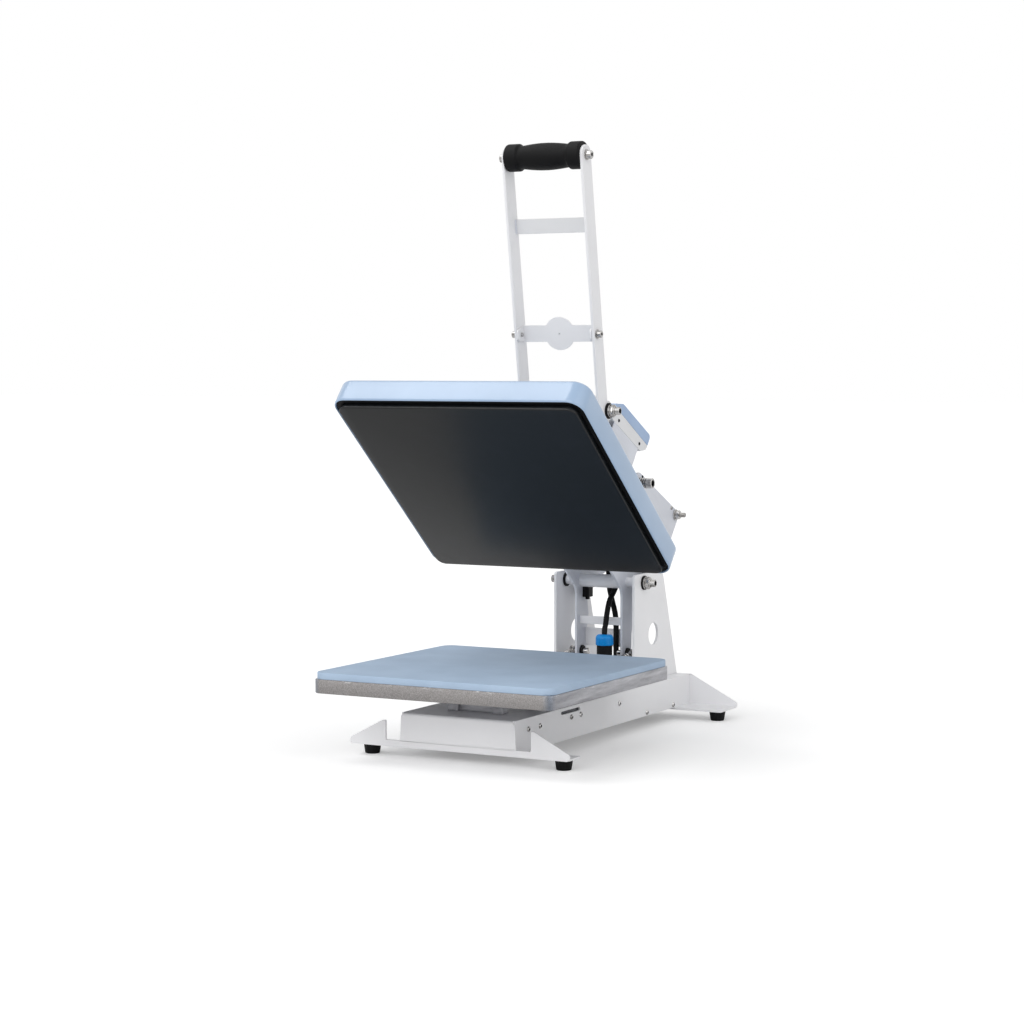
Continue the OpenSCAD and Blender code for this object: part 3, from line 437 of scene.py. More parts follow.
# %% Silicone of the pad
material, tree, shader, coords = start_finish("silicone", 0.7, Specular_IOR_Level=0.25)
cloudy = use_effect(tree, paint_skin, coords, Cloud_Size=14.0)
pores = use_effect(tree, grain, coords, Size=1300.0)
tree.links.new(tones(tree, cloudy["Clouds"], "#a4b8cf", "#afc3d9"), shader.inputs["Base Color"])
tree.links.new(spread(tree, pores["Specks"], 0, 1, 0.78, 0.64), shader.inputs["Roughness"])
bump(tree, shader, pores["Pits"], 0.2, 0.0001)
finishes["silicone"] = material
print("finishes:", len(finishes))


# %% Dress the CAD nodes
def dress(obj, finish):
    """Give a piece its finish."""
    obj.data.materials.clear()
    obj.data.materials.append(finishes[finish])


OTHER_FINISH = {"arm_left": "arm_paint", "arm_right": "arm_paint", "handle_crossbar": "grey_metal",
                "head_saddle": "arm_paint", "control_cover": "box_blue", "toggle_link_left": "plated_steel",
                "toggle_link_right": "plated_steel"}

for name, node in nodes.items():
    dress(node, OTHER_FINISH.get(name, slot_of[name]))
print("dressed", len(nodes), "CAD nodes")

# %% [markdown]
# ## The two cables
#
# Two black cables run from the base to the head between the arm plates: one from the blue ring nut to the
# heater, one from the base top to the control box. Each crosses the main hinge, so it is one smooth tube
# along the same route as its CAD solid, curving from the base up to the arm. The corners of the
# route are rounded by a Catmull-Rom curve, which passes through every point.

# %% Routes of the cables
CABLE_R = 4.3
HEATER_ROUTE = [(22, -40, -88.7), (22, -40, -72.7), (19, -30, -64), (15, -17, -48), (12, -2, -30),
                (14, 12, -14), (16, 19, 2), (16, 16, 20), (15, 4, 36), (14, -16, 52), (14, -42, 70),
                (14, -72, 90), (14, -102, 108), (14, -130, 124), (14, -155, 133), (14, -173, 130),
                (14, -185.64, 117.9), (14, -196.57, 104.89)]
CONTROL_ROUTE = [(20, 5, -160), (20, 5, -145), (20, 5, -128), (20, 5, -110), (20, 5, -90), (19.5, 6, -72),
                 (17, 8, -52), (9, 13, -31), (2, 18, -12), (-1, 22, 8), (-3, 18, 28), (-5, 6, 46),
                 (-6, -8, 66), (-6, -22, 90), (-6, -33, 116), (-6, -40, 142), (-6, -39, 166),
                 (-6, -23.29, 198.9), (-6, -15.43, 213.96)]


def rounded_route(points, steps=6):
    """A smooth curve through points that are given from the hinge, in millimetres."""
    spots = [HINGE + Vector(p) * MM for p in points]
    spots = [2 * spots[0] - spots[1]] + spots + [2 * spots[-1] - spots[-2]]
    way = []
    for a, b, c, d in zip(spots, spots[1:], spots[2:], spots[3:]):
        for i in range(steps):
            t = i / steps
            way.append(0.5 * (2 * b + (c - a) * t + (2 * a - 5 * b + 4 * c - d) * t ** 2
                              + (3 * b - a - 3 * c + d) * t ** 3))
    return way + [spots[-2]]


def tube(name, way, radius, sides=4):
    """A closed mesh tube along a way, from a bevelled curve."""
    curve = bpy.data.curves.new(name, "CURVE")
    curve.dimensions = "3D"
    curve.bevel_depth = radius
    curve.bevel_resolution = sides
    curve.use_fill_caps = True
    spline = curve.splines.new("POLY")
    spline.points.add(len(way) - 1)
    for point, spot in zip(spline.points, way):
        point.co = (*spot, 1.0)
    obj = bpy.data.objects.new(name, curve)
    bpy.context.scene.collection.objects.link(obj)
    only(obj)
    bpy.ops.object.convert(target="MESH")
    obj = bpy.context.object
    bpy.ops.object.mode_set(mode="EDIT")
    bpy.ops.mesh.select_all(action="SELECT")
    bpy.ops.mesh.remove_doubles(threshold=0.000001)
    bpy.ops.mesh.normals_make_consistent(inside=False)
    bpy.ops.object.mode_set(mode="OBJECT")
    return smooth(obj, 50)


def run_of(way):
    return sum((b - a).length for a, b in zip(way, way[1:]))


# %% Make the cables
for name, node, route, start, end in (
        ("heater_lead", "heater_cable", HEATER_ROUTE, (0.022, 0.136, 0.142), (0.014, -0.0205, 0.3256)),
        ("control_lead", "control_cable", CONTROL_ROUTE, (0.02, 0.181, 0.15), (-0.006, 0.16, 0.30))):
    way = rounded_route(route)
    lead = tube(name, way, CABLE_R * MM)
    dress(lead, "black_rubber")
    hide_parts(node)
    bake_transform(lead)
    print(name, "length", round(run_of(way), 3), "m")

# %% [markdown]
# ## The return springs
#
# Two coil springs pull the legs of the arm forward, which holds the head open. A spring is a long wire, so
# it is made as the cables are: the eye round the anchor, the coil, and the eye round the pin, in one way.
# The eyes and the coil lie on the same straight line, given in the plane of the spring.

# %% Wire of a return spring
SPRING_FROM = Vector((14.16, 78.0))
SPRING_TO = Vector((176.16, 108.7))
SPRING_SIDE = 50.0
WIRE_R = 1.2
COIL_R = 6.5
CURLS = 20
CURL_STEPS = 20
COIL_START = 18.0


def spring_way(side):
    span = SPRING_TO - SPRING_FROM
    along = span.normalized()
    across = Vector((-along.y, along.x))

    def spot(s, up, out):
        q = SPRING_FROM + along * s + across * up
        return Vector((side * (SPRING_SIDE + out), q.x, q.y)) * MM

    def eye(centre, radius, first):
        turns = [math.radians(first + 290 * i / 24) for i in range(25)]
        return [spot(centre + radius * math.cos(a), radius * math.sin(a), 0) for a in turns]

    run = span.length
    coil_run = run - 2 * COIL_START
    steps = CURLS * CURL_STEPS
    coil = [spot(COIL_START + coil_run * i / steps, -COIL_R * math.cos(a), COIL_R * math.sin(a))
            for i in range(steps + 1) for a in [math.tau * i / CURL_STEPS]]
    return (eye(0, 5.45, 20) + [spot(COIL_START - 7, -3, 0)] + coil + [spot(run - COIL_START + 7, -3, 0)]
            + eye(run, 6.5, 230))


for side, name in ((1, "right"), (-1, "left")):
    spring = tube("coil_spring_" + name, spring_way(side), WIRE_R * MM, sides=2)
    dress(spring, "steel")
    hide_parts("return_spring_" + name)
    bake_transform(spring)
    print(spring.name, "wire", round(run_of(spring_way(side)), 3), "m")


# %% [markdown]
# ## Slabs with rounded corners
#
# The pad, the heated plate and the blue shell are all square slabs with round corners and softened rims.
# Each starts as a cube at its real size. Its four upright edges are bevelled for the corners, then the
# edges of a rim for the softening. Edges are picked by where they lie, as one would click on them.


# %% A slab with rounded corners
def pick(obj, test, kind="edges"):
    """In edit mode, select the edges or faces whose places pass a test."""
    bpy.ops.mesh.select_all(action="DESELECT")
    bpy.ops.mesh.select_mode(type="EDGE" if kind == "edges" else "FACE")
    mesh = bmesh.from_edit_mesh(obj.data)
    for item in getattr(mesh, kind):
        if test(item):
            item.select_set(True)
    mesh.select_flush_mode()
    bmesh.update_edit_mesh(obj.data)


def lies_at(z):
    """A test for edges that lie at this height, in metres."""
    return lambda edge: all(abs(v.co.z - z) < 1e-6 for v in edge.verts)


def is_upright(edge):
    a, b = edge.verts
    return abs(a.co.x - b.co.x) < 1e-6 and abs(a.co.y - b.co.y) < 1e-6


def slab(name, low, high, corner, rims, corner_steps=12):
    """A slab between two corners in millimetres; rims is a list of (height, softening, steps)."""
    low, high = Vector(low) * MM, Vector(high) * MM
    bpy.ops.object.select_all(action="DESELECT")
    bpy.ops.mesh.primitive_cube_add(size=1, location=(low + high) / 2)
    obj = bpy.context.object
    obj.name = name
    obj.scale = high - low
    settle(obj)
    bpy.ops.object.mode_set(mode="EDIT")
    pick(obj, is_upright)
    bpy.ops.mesh.bevel(offset=corner * MM, segments=corner_steps, affect="EDGES")
    for height, softening, steps in rims:
        pick(obj, lies_at(height * MM))
        bpy.ops.mesh.bevel(offset=softening * MM, segments=steps, affect="EDGES")
    bpy.ops.object.mode_set(mode="OBJECT")
    return obj


def open_frame(obj, rim):
    """Open a slab from top to bottom, leaving a rim of this width."""
    only(obj)
    bpy.ops.object.mode_set(mode="EDIT")
    pick(obj, lambda face: abs(face.normal.z) > 0.9, kind="faces")
    bpy.ops.mesh.inset(thickness=rim * MM)
    bpy.ops.mesh.bridge_edge_loops()
    bpy.ops.mesh.select_all(action="SELECT")
    bpy.ops.mesh.normals_make_consistent(inside=False)
    bpy.ops.object.mode_set(mode="OBJECT")
    return obj


# %% The silicone pad
pad = slab("silicone_sheet", (-189, -364.84, 117), (189, 13.16, 126.7), 18, [(126.7, 1.4, 3), (117, 0.7, 2)])
dress(smooth(pad), "silicone")
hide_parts("silicone_pad")
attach(pad, "base")
tell(pad)

# %% The cast platen, with round corners and broken edges
casting = slab("cast_platen", (-190, -365.84, 97), (190, 14.16, 117), 14, [(117, 1.0, 2), (97, 1.2, 2)])
dress(smooth(casting), "cast_aluminium")
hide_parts("lower_platen")
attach(casting, "base")
tell(casting)

# %% The heated plate, with a rounded lower edge that catches the light
plate = slab("heated_plate", (-190, -542, -93.5), (190, -162, -78.5), 14, [(-93.5, 1.6, 4)])
dress(smooth(settle(plate, HEAD)), "heat_black")
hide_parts("heating_plate")
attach(plate, "arm")
tell(plate)

# %% The blue shell, open below, with a wall of sheet metal and a lip that is rolled in
SHELL_WALL = 1.6
LIP = 3.0

shell = slab("head_shell", (-200, -552, -87), (200, -152, -49), 24, [(-49, 5, 5), (-87, LIP, 4)],
             corner_steps=16)
only(shell)
bpy.ops.object.mode_set(mode="EDIT")
pick(shell, lambda face: face.normal.z < -0.9, kind="faces")
bpy.ops.mesh.delete(type="FACE")
bpy.ops.object.mode_set(mode="OBJECT")
wall = shell.modifiers.new("wall", "SOLIDIFY")
wall.thickness = SHELL_WALL * MM
wall.offset = -1
bpy.ops.object.modifier_apply(modifier=wall.name)
dress(smooth(settle(shell, HEAD)), "cover_blue")
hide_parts("head_cover")
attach(shell, "arm")
tell(shell)

# %% The black seal in the gap between the plate and the shell
SEAL_RIM = 5.8

seal = open_frame(slab("rim_seal", (-196, -548, -84.6), (196, -156, -80), 20, []), SEAL_RIM)
dress(smooth(settle(seal, HEAD)), "black_rubber")
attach(seal, "arm")
tell(seal)


# %% [markdown]
# ## Turned pieces
#
# The grip, the blue nut, the feet and the bolts are round about an axis. A round end face is extruded again
# and again, and each new ring is scaled to its radius, which is how a shape is turned by hand without a
# curve.


# %% A turned piece
def turned(name, rings, sides=64):
    """A closed piece about Z, from rings of (height, radius) in millimetres."""
    height, radius = rings[0]
    bpy.ops.object.select_all(action="DESELECT")
    bpy.ops.mesh.primitive_circle_add(vertices=sides, radius=radius * MM, fill_type="NGON",
                                      location=(0, 0, height * MM))
    obj = bpy.context.object
    obj.name = name
    settle(obj)
    bpy.ops.object.mode_set(mode="EDIT")
    bpy.ops.mesh.select_all(action="SELECT")
    for next_height, next_radius in rings[1:]:
        bpy.ops.mesh.extrude_region_move(
            TRANSFORM_OT_translate={"value": (0, 0, (next_height - height) * MM)})
        share = next_radius / radius
        bpy.ops.transform.resize(value=(share, share, 1), center_override=(0, 0, next_height * MM))
        height, radius = next_height, next_radius
    bpy.ops.mesh.select_all(action="SELECT")
    bpy.ops.mesh.normals_make_consistent(inside=False)
    bpy.ops.object.mode_set(mode="OBJECT")
    return obj


# %% The grip: two collars, two necks and a swelling middle
half_grip = [(62.5, 17.8), (62.3, 18.9), (61.6, 19.9), (60.6, 20.4), (59, 20.5), (45, 20.5), (43.2, 20.4),
             (42.2, 19.9), (41.2, 18.9), (40.2, 17.9), (39, 17.5), (36, 17.5), (33, 17.8), (27, 18.6),
             (20, 19.3), (12, 19.9), (5, 20.2)]
grip_rings = [(-z, r) for z, r in half_grip] + [(z, r) for z, r in reversed(half_grip)]
grip = turned("hand_grip", grip_rings)
settle(grip, GRIP_PLACE @ ACROSS)
dress(smooth(grip), "black_plastic")
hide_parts("handle_grip")
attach(grip, "handle")

# %% The blue ring nut: a rounded cap with grip flutes
NUT_SIDES = 72
FLUTE_EDGE, FLUTE_DEPTH = 0.12, 0.5

nut_rings = [(125, 12.4), (125.5, 13.3), (126.4, 13.8), (136, 13.8), (138.6, 13.2), (140.4, 12.0),
             (141.5, 10.2), (142, 8.2), (142, 5.2)]
ring_nut = turned("ring_nut", nut_rings, sides=NUT_SIDES)
only(ring_nut)
bpy.ops.object.mode_set(mode="EDIT")


def in_flute(face):
    mid = face.calc_center_median()
    step = math.floor((math.atan2(mid.y, mid.x) / math.tau % 1.0) * NUT_SIDES)
    return abs(face.normal.z) < 0.2 and mid.z > 0.1262 and step % 4 < 2


pick(ring_nut, in_flute, kind="faces")
bpy.ops.mesh.inset(thickness=FLUTE_EDGE * MM, depth=-FLUTE_DEPTH * MM)
bpy.ops.object.mode_set(mode="OBJECT")
settle(ring_nut, at(22, 136.16, 0))
dress(smooth(ring_nut, 30), "blue_plastic")
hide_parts("cable_nut")
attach(ring_nut, "base")
tell(ring_nut)

# %% [markdown]
# ## Soft edges on the sheet metal
#
# Laser-cut plates have their edges broken before they are coated, and the coating rounds them a little
# more, so each edge carries a thin line of light. The solids are sharp, so a copy of each plate is merged,
# its flat triangles are joined into larger faces, and a small bevel runs along every sharp edge. The folded
# brackets have so many corners that their triangles are only paired.

# %% Ease the edges of plates, boxes and mouldings
EASE_PLATE = 0.7
EASE_BRACKET = 0.4
EASE_SMALL = 0.45
PLATES = ("base_top", "upright_left", "upright_right", "platen_mount", "spring_anchor", "relay_module",
          "arm_left", "arm_right", "leg_strips", "head_saddle", "arm_bridges", "control_tray",
          "control_cover", "electromagnet", "handle_bar_left", "handle_bar_right", "handle_crossbar",
          "toggle_link_left", "toggle_link_right")
BRACKETS = ("front_bracket", "rear_bracket", "armature_bar")
SMALL = ("pressure_knob", "closing_switch", "cable_socket", "cable_glands", "power_inlet", "switch_frame",
         "button_up", "button_down", "button_set", "upright_bolts", "link_studs", "spring_pins")


def bevel_sharp(obj, width, steps=2):
    """Round every sharp edge of an object by a width in millimetres."""
    only(obj)
    ease = obj.modifiers.new("ease", "BEVEL")
    ease.width = width * MM
    ease.segments = steps
    ease.limit_method = "ANGLE"
    ease.angle_limit = math.radians(35)
    ease.use_clamp_overlap = False
    bpy.ops.object.modifier_apply(modifier=ease.name)
    return obj


def flatten_shading(obj):
    """Shade the large faces flat and let only the narrow bevels turn the light."""
    smooth(obj)
    weigh = obj.modifiers.new("weigh", "WEIGHTED_NORMAL")
    weigh.keep_sharp = True
    bpy.ops.object.modifier_apply(modifier=weigh.name)
    return obj


def eased(node, width, whole_faces=True):
    """A copy of a CAD node with soft edges, which stands for it."""
    piece = bpy.data.objects.new("soft_" + node, nodes[node].data.copy())
    bpy.context.scene.collection.objects.link(piece)
    only(piece)
    bpy.ops.object.mode_set(mode="EDIT")
    bpy.ops.mesh.select_all(action="SELECT")
    bpy.ops.mesh.remove_doubles(threshold=0.1 * MM)
    if whole_faces:
        bpy.ops.mesh.dissolve_limited(angle_limit=math.radians(0.5))
    else:
        bpy.ops.mesh.tris_convert_to_quads(face_threshold=math.radians(1), shape_threshold=math.radians(60))
    bpy.ops.object.mode_set(mode="OBJECT")
    bevel_sharp(piece, width)
    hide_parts(node)
    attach(piece, nodes[node]["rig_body"])
    return flatten_shading(piece)


for group, width, whole_faces in ((PLATES, EASE_PLATE, True), (BRACKETS, EASE_BRACKET, False),
                                  (SMALL, EASE_SMALL, True)):
    pieces = [eased(node, width, whole_faces) for node in group]
    print("eased", len(pieces), "pieces by", width, "mm")

# %% [markdown]
# ## Bolts, nuts and threaded shafts
#
# The pivots are zinc-plated shafts and bolts with hex sockets in their ends, held by nuts on washers. Their
# solids are plain, so they are turned here with threads and chamfers. From a step away a thread is a row of
# grooves, and so it is turned as rings; a true helix would only add faces. Sockets are cut by a boolean, and
# the cut faces take a dark finish as painted shade inside the socket. All fittings that belong to one node
# are joined into one object.

# %% Tools for fittings
PITCH = 1.75
GROOVE = 0.75


def hex_socket(obj, flats, top, depth):
    """Cut a hex socket into an end face at this height; its walls take the dark steel finish, as painted
    shade.
    """
    bpy.ops.object.select_all(action="DESELECT")
    bpy.ops.mesh.primitive_cylinder_add(vertices=6, radius=flats / math.sqrt(3) * MM, depth=2 * depth * MM,
                                        location=(0, 0, top * MM))
    cutter = settle(bpy.context.object)
    # The cutter's dark steel passes to the socket's walls: painted shade, not the bolt's own finish.
    cutter.data.materials.append(finishes["dark_steel"])
    hole = obj.modifiers.new("socket", "BOOLEAN")
    hole.operation = "DIFFERENCE"
    hole.object = cutter
    hole.material_mode = "TRANSFER"
    only(obj)
    bpy.ops.object.modifier_apply(modifier=hole.name)
    bpy.data.objects.remove(cutter)
    return obj


def thread(top, length, radius):
    """Half a profile, from the top down: a chamfer and the grooves of a thread."""
    side = [(top, radius - 0.8), (top - 0.8, radius)]
    for i in range(round((length - 0.8) / PITCH)):
        start = top - 0.8 - i * PITCH
        side += [(start - 0.5 * PITCH, radius - GROOVE), (start - PITCH, radius)]
    return side


def both_ends(side):
    """A whole profile from the half above the middle, which is listed from the top down."""
    return [(-z, r) for z, r in side] + [(z, r) for z, r in reversed(side)]


def bolt(name, side, flats, depth=5.0, sides=40):
    """A turned bolt, the same at both ends, with a hex socket in each."""
    piece = turned(name, both_ends(side), sides)
    dress(piece, "steel")
    top = side[0][0]
    return hex_socket(hex_socket(piece, flats, top, depth), flats, -top, depth)


def hex_nut(flats, low, high, collar=0.0):
    """A chamfered nut about Z, with a round collar on top where it has one."""
    bpy.ops.object.select_all(action="DESELECT")
    bpy.ops.mesh.primitive_cylinder_add(vertices=6, radius=flats / math.sqrt(3) * MM, depth=(high - low) * MM,
                                        location=(0, 0, (low + high) / 2 * MM))
    nut = settle(bpy.context.object)
    dress(nut, "steel")
    bevel_sharp(nut, 0.7)
    if collar:
        ring = turned("collar", [(high - 0.5, flats * 0.44), (high + collar - 0.8, flats * 0.44),
                                 (high + collar, flats * 0.38)], sides=32)
        dress(ring, "steel")
        nut = joined([nut, ring])
    return nut


def washer(radius, low, high):
    edge = 0.3
    ring = turned("washer", [(low, radius - edge), (low + edge, radius), (high - edge, radius),
                             (high, radius - edge)], sides=40)
    dress(ring, "steel")
    return ring


def joined(pieces, name=None):
    """Join pieces into the first one."""
    bpy.ops.object.select_all(action="DESELECT")
    for piece in pieces:
        piece.select_set(True)
    bpy.context.view_layer.objects.active = pieces[0]
    bpy.ops.object.join()
    if name:
        pieces[0].name = name
    return pieces[0]


def copy_at(piece, place):
    """A copy with its own mesh, carried to a place."""
    twin = piece.copy()
    twin.data = piece.data.copy()
    bpy.context.scene.collection.objects.link(twin)
    return settle(twin, place)


def on_both_sides(piece, place):
    """Two copies of a piece about Z: along +X on the right, and turned over on the left."""
    left = Matrix.Rotation(math.radians(180), 4, "Y")
    pair = [copy_at(piece, place @ ACROSS), copy_at(piece, place @ left @ ACROSS)]
    bpy.data.objects.remove(piece)
    return pair


def fit(piece, node, body):
    """Finish a joined fitting: it stands for a node and rides on a body."""
    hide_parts(node)
    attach(piece, body)
    smooth(piece)
    tell(piece)


# %% The hinge shaft, the handle's axle and their nuts
AXLE_ON_HEAD = HEAD @ at(0, -265, 128)
SHAFT_R = 6.0
PIVOTS = (("hinge_shaft", "pivot_shaft", HEAD, 89.8, 72.8),
          ("handle_shaft", "handle_axle", AXLE_ON_HEAD, 86.8, 69.8))

nuts = []
for name, node, place, end, washer_at in PIVOTS:
    shaft = bolt(name, thread(end, end - washer_at - 9.2, SHAFT_R), 7.4)
    fit(settle(shaft, place @ ACROSS), node, "arm")
    nuts += on_both_sides(washer(10, washer_at, washer_at + 2), place)
    nuts += on_both_sides(hex_nut(17, washer_at + 2, washer_at + 8, collar=2.0), place)
fit(joined(nuts, "pivot_nuts"), "shaft_nuts", "arm")

# %% The bolts that tie the two arms together
TIE_HIGH = HEAD @ at(0, -68, 142)
TIE_REAR = HEAD @ at(0, 75, 187)
ARM_OUT = 41.5
WASHER_STEP = 3.7

high_side = [(66.5, 7.2), (65.9, 8.0), (57.0, 8.0), (56.4, 7.5), (56.4, 6.0)]
for i in range(3):
    top = 55.9 - i * WASHER_STEP
    high_side += [(top, 6.0), (top - 0.3, 8.2), (top - 2.4, 8.2), (top - 2.7, 6.0)]
high_side += [(44.5, 6.0), (44.5, 9.0), (ARM_OUT, 9.0), (ARM_OUT, 5.0)]
high_tie = settle(bolt("high_tie", high_side, 10.0, depth=6.0), TIE_HIGH @ ACROSS)
rear_tie = turned("rear_tie", both_ends(thread(59.5, 8.5, 4.0)), sides=32)
dress(rear_tie, "steel")
ties = [high_tie, settle(rear_tie, TIE_REAR @ ACROSS)]
ties += on_both_sides(washer(9, ARM_OUT, ARM_OUT + 2), TIE_REAR)
ties += on_both_sides(hex_nut(13, ARM_OUT + 2, ARM_OUT + 9), TIE_REAR)
for u in (300, 335):
    for low in (29.0, ARM_OUT):
        ties += on_both_sides(hex_nut(12, low, low + 4.5), HEAD @ at(0, -u, -4))
fit(joined(ties, "arm_ties"), "arm_bolts", "arm")

# %% The bolts of the handle
BAR_OUT = 67.0
ARMATURE_PIN = HANDLE @ at(0, -20, 119)
CRANK = HANDLE @ at(0, -16.7, -31.9)


def cap_side(end, head_r, head_low, rod_r, rod_low):
    """Half a profile of a rod that ends in a cap head on a washer."""
    return [(end, head_r - 1.0), (end - 0.5, head_r - 0.3), (end - 1.4, head_r), (head_low, head_r),
            (head_low, head_r + 1.6), (BAR_OUT, head_r + 1.6), (BAR_OUT, rod_r), (rod_low, rod_r)]


grip_rod = settle(bolt("grip_rod", cap_side(76, 6.4, 68.5, 4.0, 10), 5.5, depth=4.0), GRIP_PLACE @ ACROSS)
pin_side = cap_side(75, 5.4, 68.5, 3.0, 58)
pin = turned("armature_pin", pin_side[::-1], sides=40)
dress(pin, "steel")
hex_socket(pin, 4.6, 75, 3.0)
crank_rings = [(49.0, 4.4), (49.2, 5.0), (49.3, 8.3), (49.7, 8.5), (49.7, 5.0), (63.0, 5.0)]
crank_pin = turned("crank_pin", crank_rings, sides=40)
dress(crank_pin, "steel")
handle_bolts = [grip_rod] + on_both_sides(pin, ARMATURE_PIN) + on_both_sides(crank_pin, CRANK)
fit(joined(handle_bolts, "handle_bolts"), "handle_fittings", "handle")

# %% The screws of the base: domed heads with a socket that is painted dark as shade
RAIL_OUT = 91.5
PLATEN_MID_Y = -175.84
BASE_TOP_Z = 66.0
RAIL_SCREWS = ((-69, 16), (-34, 16), (63.5, 16), (93, 16), (222, 16), (319, 42), (416, 42))


def dome_screw(radius, height, flats, finish="steel"):
    """A domed screw head that stands on z = 0."""
    screw = turned("dome_screw", [(-0.5, radius * 0.9), (0, radius), (height * 0.35, radius * 0.97),
                                  (height * 0.75, radius * 0.8), (height, radius * 0.55)], sides=32)
    dress(screw, finish)
    return hex_socket(screw, flats, height, height * 0.7)


screws = []
for behind, below in RAIL_SCREWS:
    place = at(0, PLATEN_MID_Y + behind, BASE_TOP_Z - below)
    head = settle(dome_screw(4.0, 2.0, 3.4), at(0, 0, RAIL_OUT))
    screws += on_both_sides(head, place)
fit(joined(screws, "rail_screws"), "base_screws", "base")

# %% Small screws on the head and on the armature's disc
TRAY_SIDE = 58.0
SMALL_SCREWS = ((212.4, 151.5, TRAY_SIDE, 2.7, "dark_steel"), (133.1, 169.3, TRAY_SIDE, 2.7, "dark_steel"),
                (-56.3, 186.8, ARM_OUT, 3.4, "steel"), (62.5, 158.5, ARM_OUT, 2.6, "dark_steel"))

small_screws = []
for u, n, side, radius, finish in SMALL_SCREWS:
    head = settle(dome_screw(radius, 1.3, radius * 0.8, finish), at(0, 0, side))
    small_screws += on_both_sides(head, HEAD @ at(0, -u, n))
small = joined(small_screws, "small_screws")
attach(smooth(small), "arm")

DISC_FACE = HANDLE @ at(0, -12, 119) @ Matrix.Rotation(math.radians(90), 4, "X")
disc_screw = settle(dome_screw(2.2, 0.6, 1.2, "grey_metal"), DISC_FACE)
disc_screw.name = "disc_screw"
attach(smooth(disc_screw), "armature")
print("small screws:", len(small_screws) + 1)

# %% [markdown]
# ## The bracket under the control box
#
# The control box is screwed to a white sheet bracket, whose two cheeks hang below it beside the arms. A cheek
# is a thin block that is cut along the slope of the box's underside, and its twin stands on the other side.

# %% Cheeks of the control box's bracket
CHEEK_IN, CHEEK_OUT = 56.0, 57.8
CHEEK_LOW, CHEEK_TOP, CHEEK_FRONT_TOP = 106.0, 160.6, 140.9
CHEEK_REAR, CHEEK_FRONT = 131.0, 222.0

cheek = slab("tray_cheek", (CHEEK_IN, -CHEEK_FRONT, CHEEK_LOW), (CHEEK_OUT, -CHEEK_REAR, CHEEK_TOP), 0.4, [])
slope = (CHEEK_TOP - CHEEK_FRONT_TOP) / (CHEEK_FRONT - CHEEK_REAR)
only(cheek)
bpy.ops.object.mode_set(mode="EDIT")
bpy.ops.mesh.select_all(action="SELECT")
bpy.ops.mesh.bisect(plane_co=(0, -CHEEK_REAR * MM, CHEEK_TOP * MM), plane_no=(0, -slope, 1),
                    use_fill=True, clear_outer=True)
bpy.ops.object.mode_set(mode="OBJECT")
twin = copy_at(cheek, at(-CHEEK_IN - CHEEK_OUT, 0, 0))
cheeks = settle(joined([cheek, twin], "tray_cheeks"), HEAD)
dress(cheeks, "arm_paint")
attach(smooth(cheeks), "arm")
tell(cheeks)

# %% [markdown]
# ## Weld beads and feet
#
# The crossbar is welded between the handle bars, and a weld is a short, slightly uneven bead under the paint.
# The feet are turned from rubber, with a recess for the screw that holds each one. The rails' slots open on
# the unlit inside of the base, and a thin dark sheet behind each is painted shade that keeps the slots dark.

# %% Weld beads of the crossbar
BEAD_R, BEAD_STEPS = 1.6, 22
BEAD_SIDE, BEAD_LOW, BEAD_SWAY = 62.4, 269.6, 0.25

beads = []
for side in (-1, 1):
    for y in (-8.2, -3.8):
        way = [Vector((side * (BEAD_SIDE + BEAD_SWAY * math.sin(2.1 * i)), y, BEAD_LOW + i)) * MM
               for i in range(BEAD_STEPS)]
        beads.append(tube("bead", way, BEAD_R * MM, sides=2))
welds = settle(joined(beads, "crossbar_welds"), HANDLE)
dress(welds, "arm_paint")
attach(welds, "handle")
tell(welds)

# %% The rubber feet
FOOT_SPOTS = ((155, -259.84), (155, 268.16), (-155, -259.84), (-155, 268.16))
foot_rings = [(16, 12.6), (15.6, 13.0), (14.6, 13.0), (13.8, 12.7), (1.4, 10.8), (0.5, 10.4), (0, 9.6),
              (0, 5.0), (6, 4.6)]
foot = turned("foot", foot_rings, sides=48)
feet = joined([copy_at(foot, at(x, y, 0)) for x, y in FOOT_SPOTS], "turned_feet")
bpy.data.objects.remove(foot)
dress(feet, "black_rubber")
fit(feet, "rubber_feet", "base")

# %% Dark sheets behind the slots of the rails, as painted shade inside the base
SHADE_SHEET_IN, SHADE_SHEET_OUT, SHADE_SHEET_TOP = 86.0, 88.4, 64.5

shade_sheets = []
for side in (-1, 1):
    low_x, high_x = sorted((side * SHADE_SHEET_IN, side * SHADE_SHEET_OUT))
    shade_sheets.append(slab("shade_sheet", (low_x, -152, 52), (high_x, -78, SHADE_SHEET_TOP), 0.4, [(SHADE_SHEET_TOP, 0.4, 1)]))
shade_sheet = joined(shade_sheets, "slot_shade_sheets")
# The dark iron finish on these sheets is painted shade: inside the base there is only shade.
dress(smooth(shade_sheet), "iron")
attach(shade_sheet, "base")
tell(shade_sheet)

# %% [markdown]
# ## The control panel
#
# The panel on the control box has a dark window in a bezel, with seven-segment digits behind it, and three
# buttons with a raised sign each. One segment is modelled and copied seven times for a digit, and there are
# six digits. They are unlit, so they are only a shade paler than the window.

# %% Bezel of the display
PANEL = HEAD @ at(0, -161.5, 193.5) @ Matrix.Rotation(math.radians(12.13), 4, "X")
BEZEL_RIM = 2.8

bezel = slab("display_bezel", (-39, -9, 0), (39, 33, 1.0), 3, [(1.0, 0.4, 2)], corner_steps=5)
bezel = open_frame(bezel, BEZEL_RIM)
dress(smooth(settle(bezel, PANEL)), "black_plastic")
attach(bezel, "arm")
tell(bezel)

# %% Seven-segment digits
moulded("unlit_segments", "#26303a", "#303b45", 0.35)
SEGMENT = (5.2, 1.2, 0.2)
DIGIT_W, DIGIT_H = 6.6, 13.2
DIGITS_AT = [-31.0 + 10.4 * i for i in range(3)] + [3.6 + 10.4 * i for i in range(3)]
DIGITS_LOW, GLASS_TOP = 5.4, -0.3

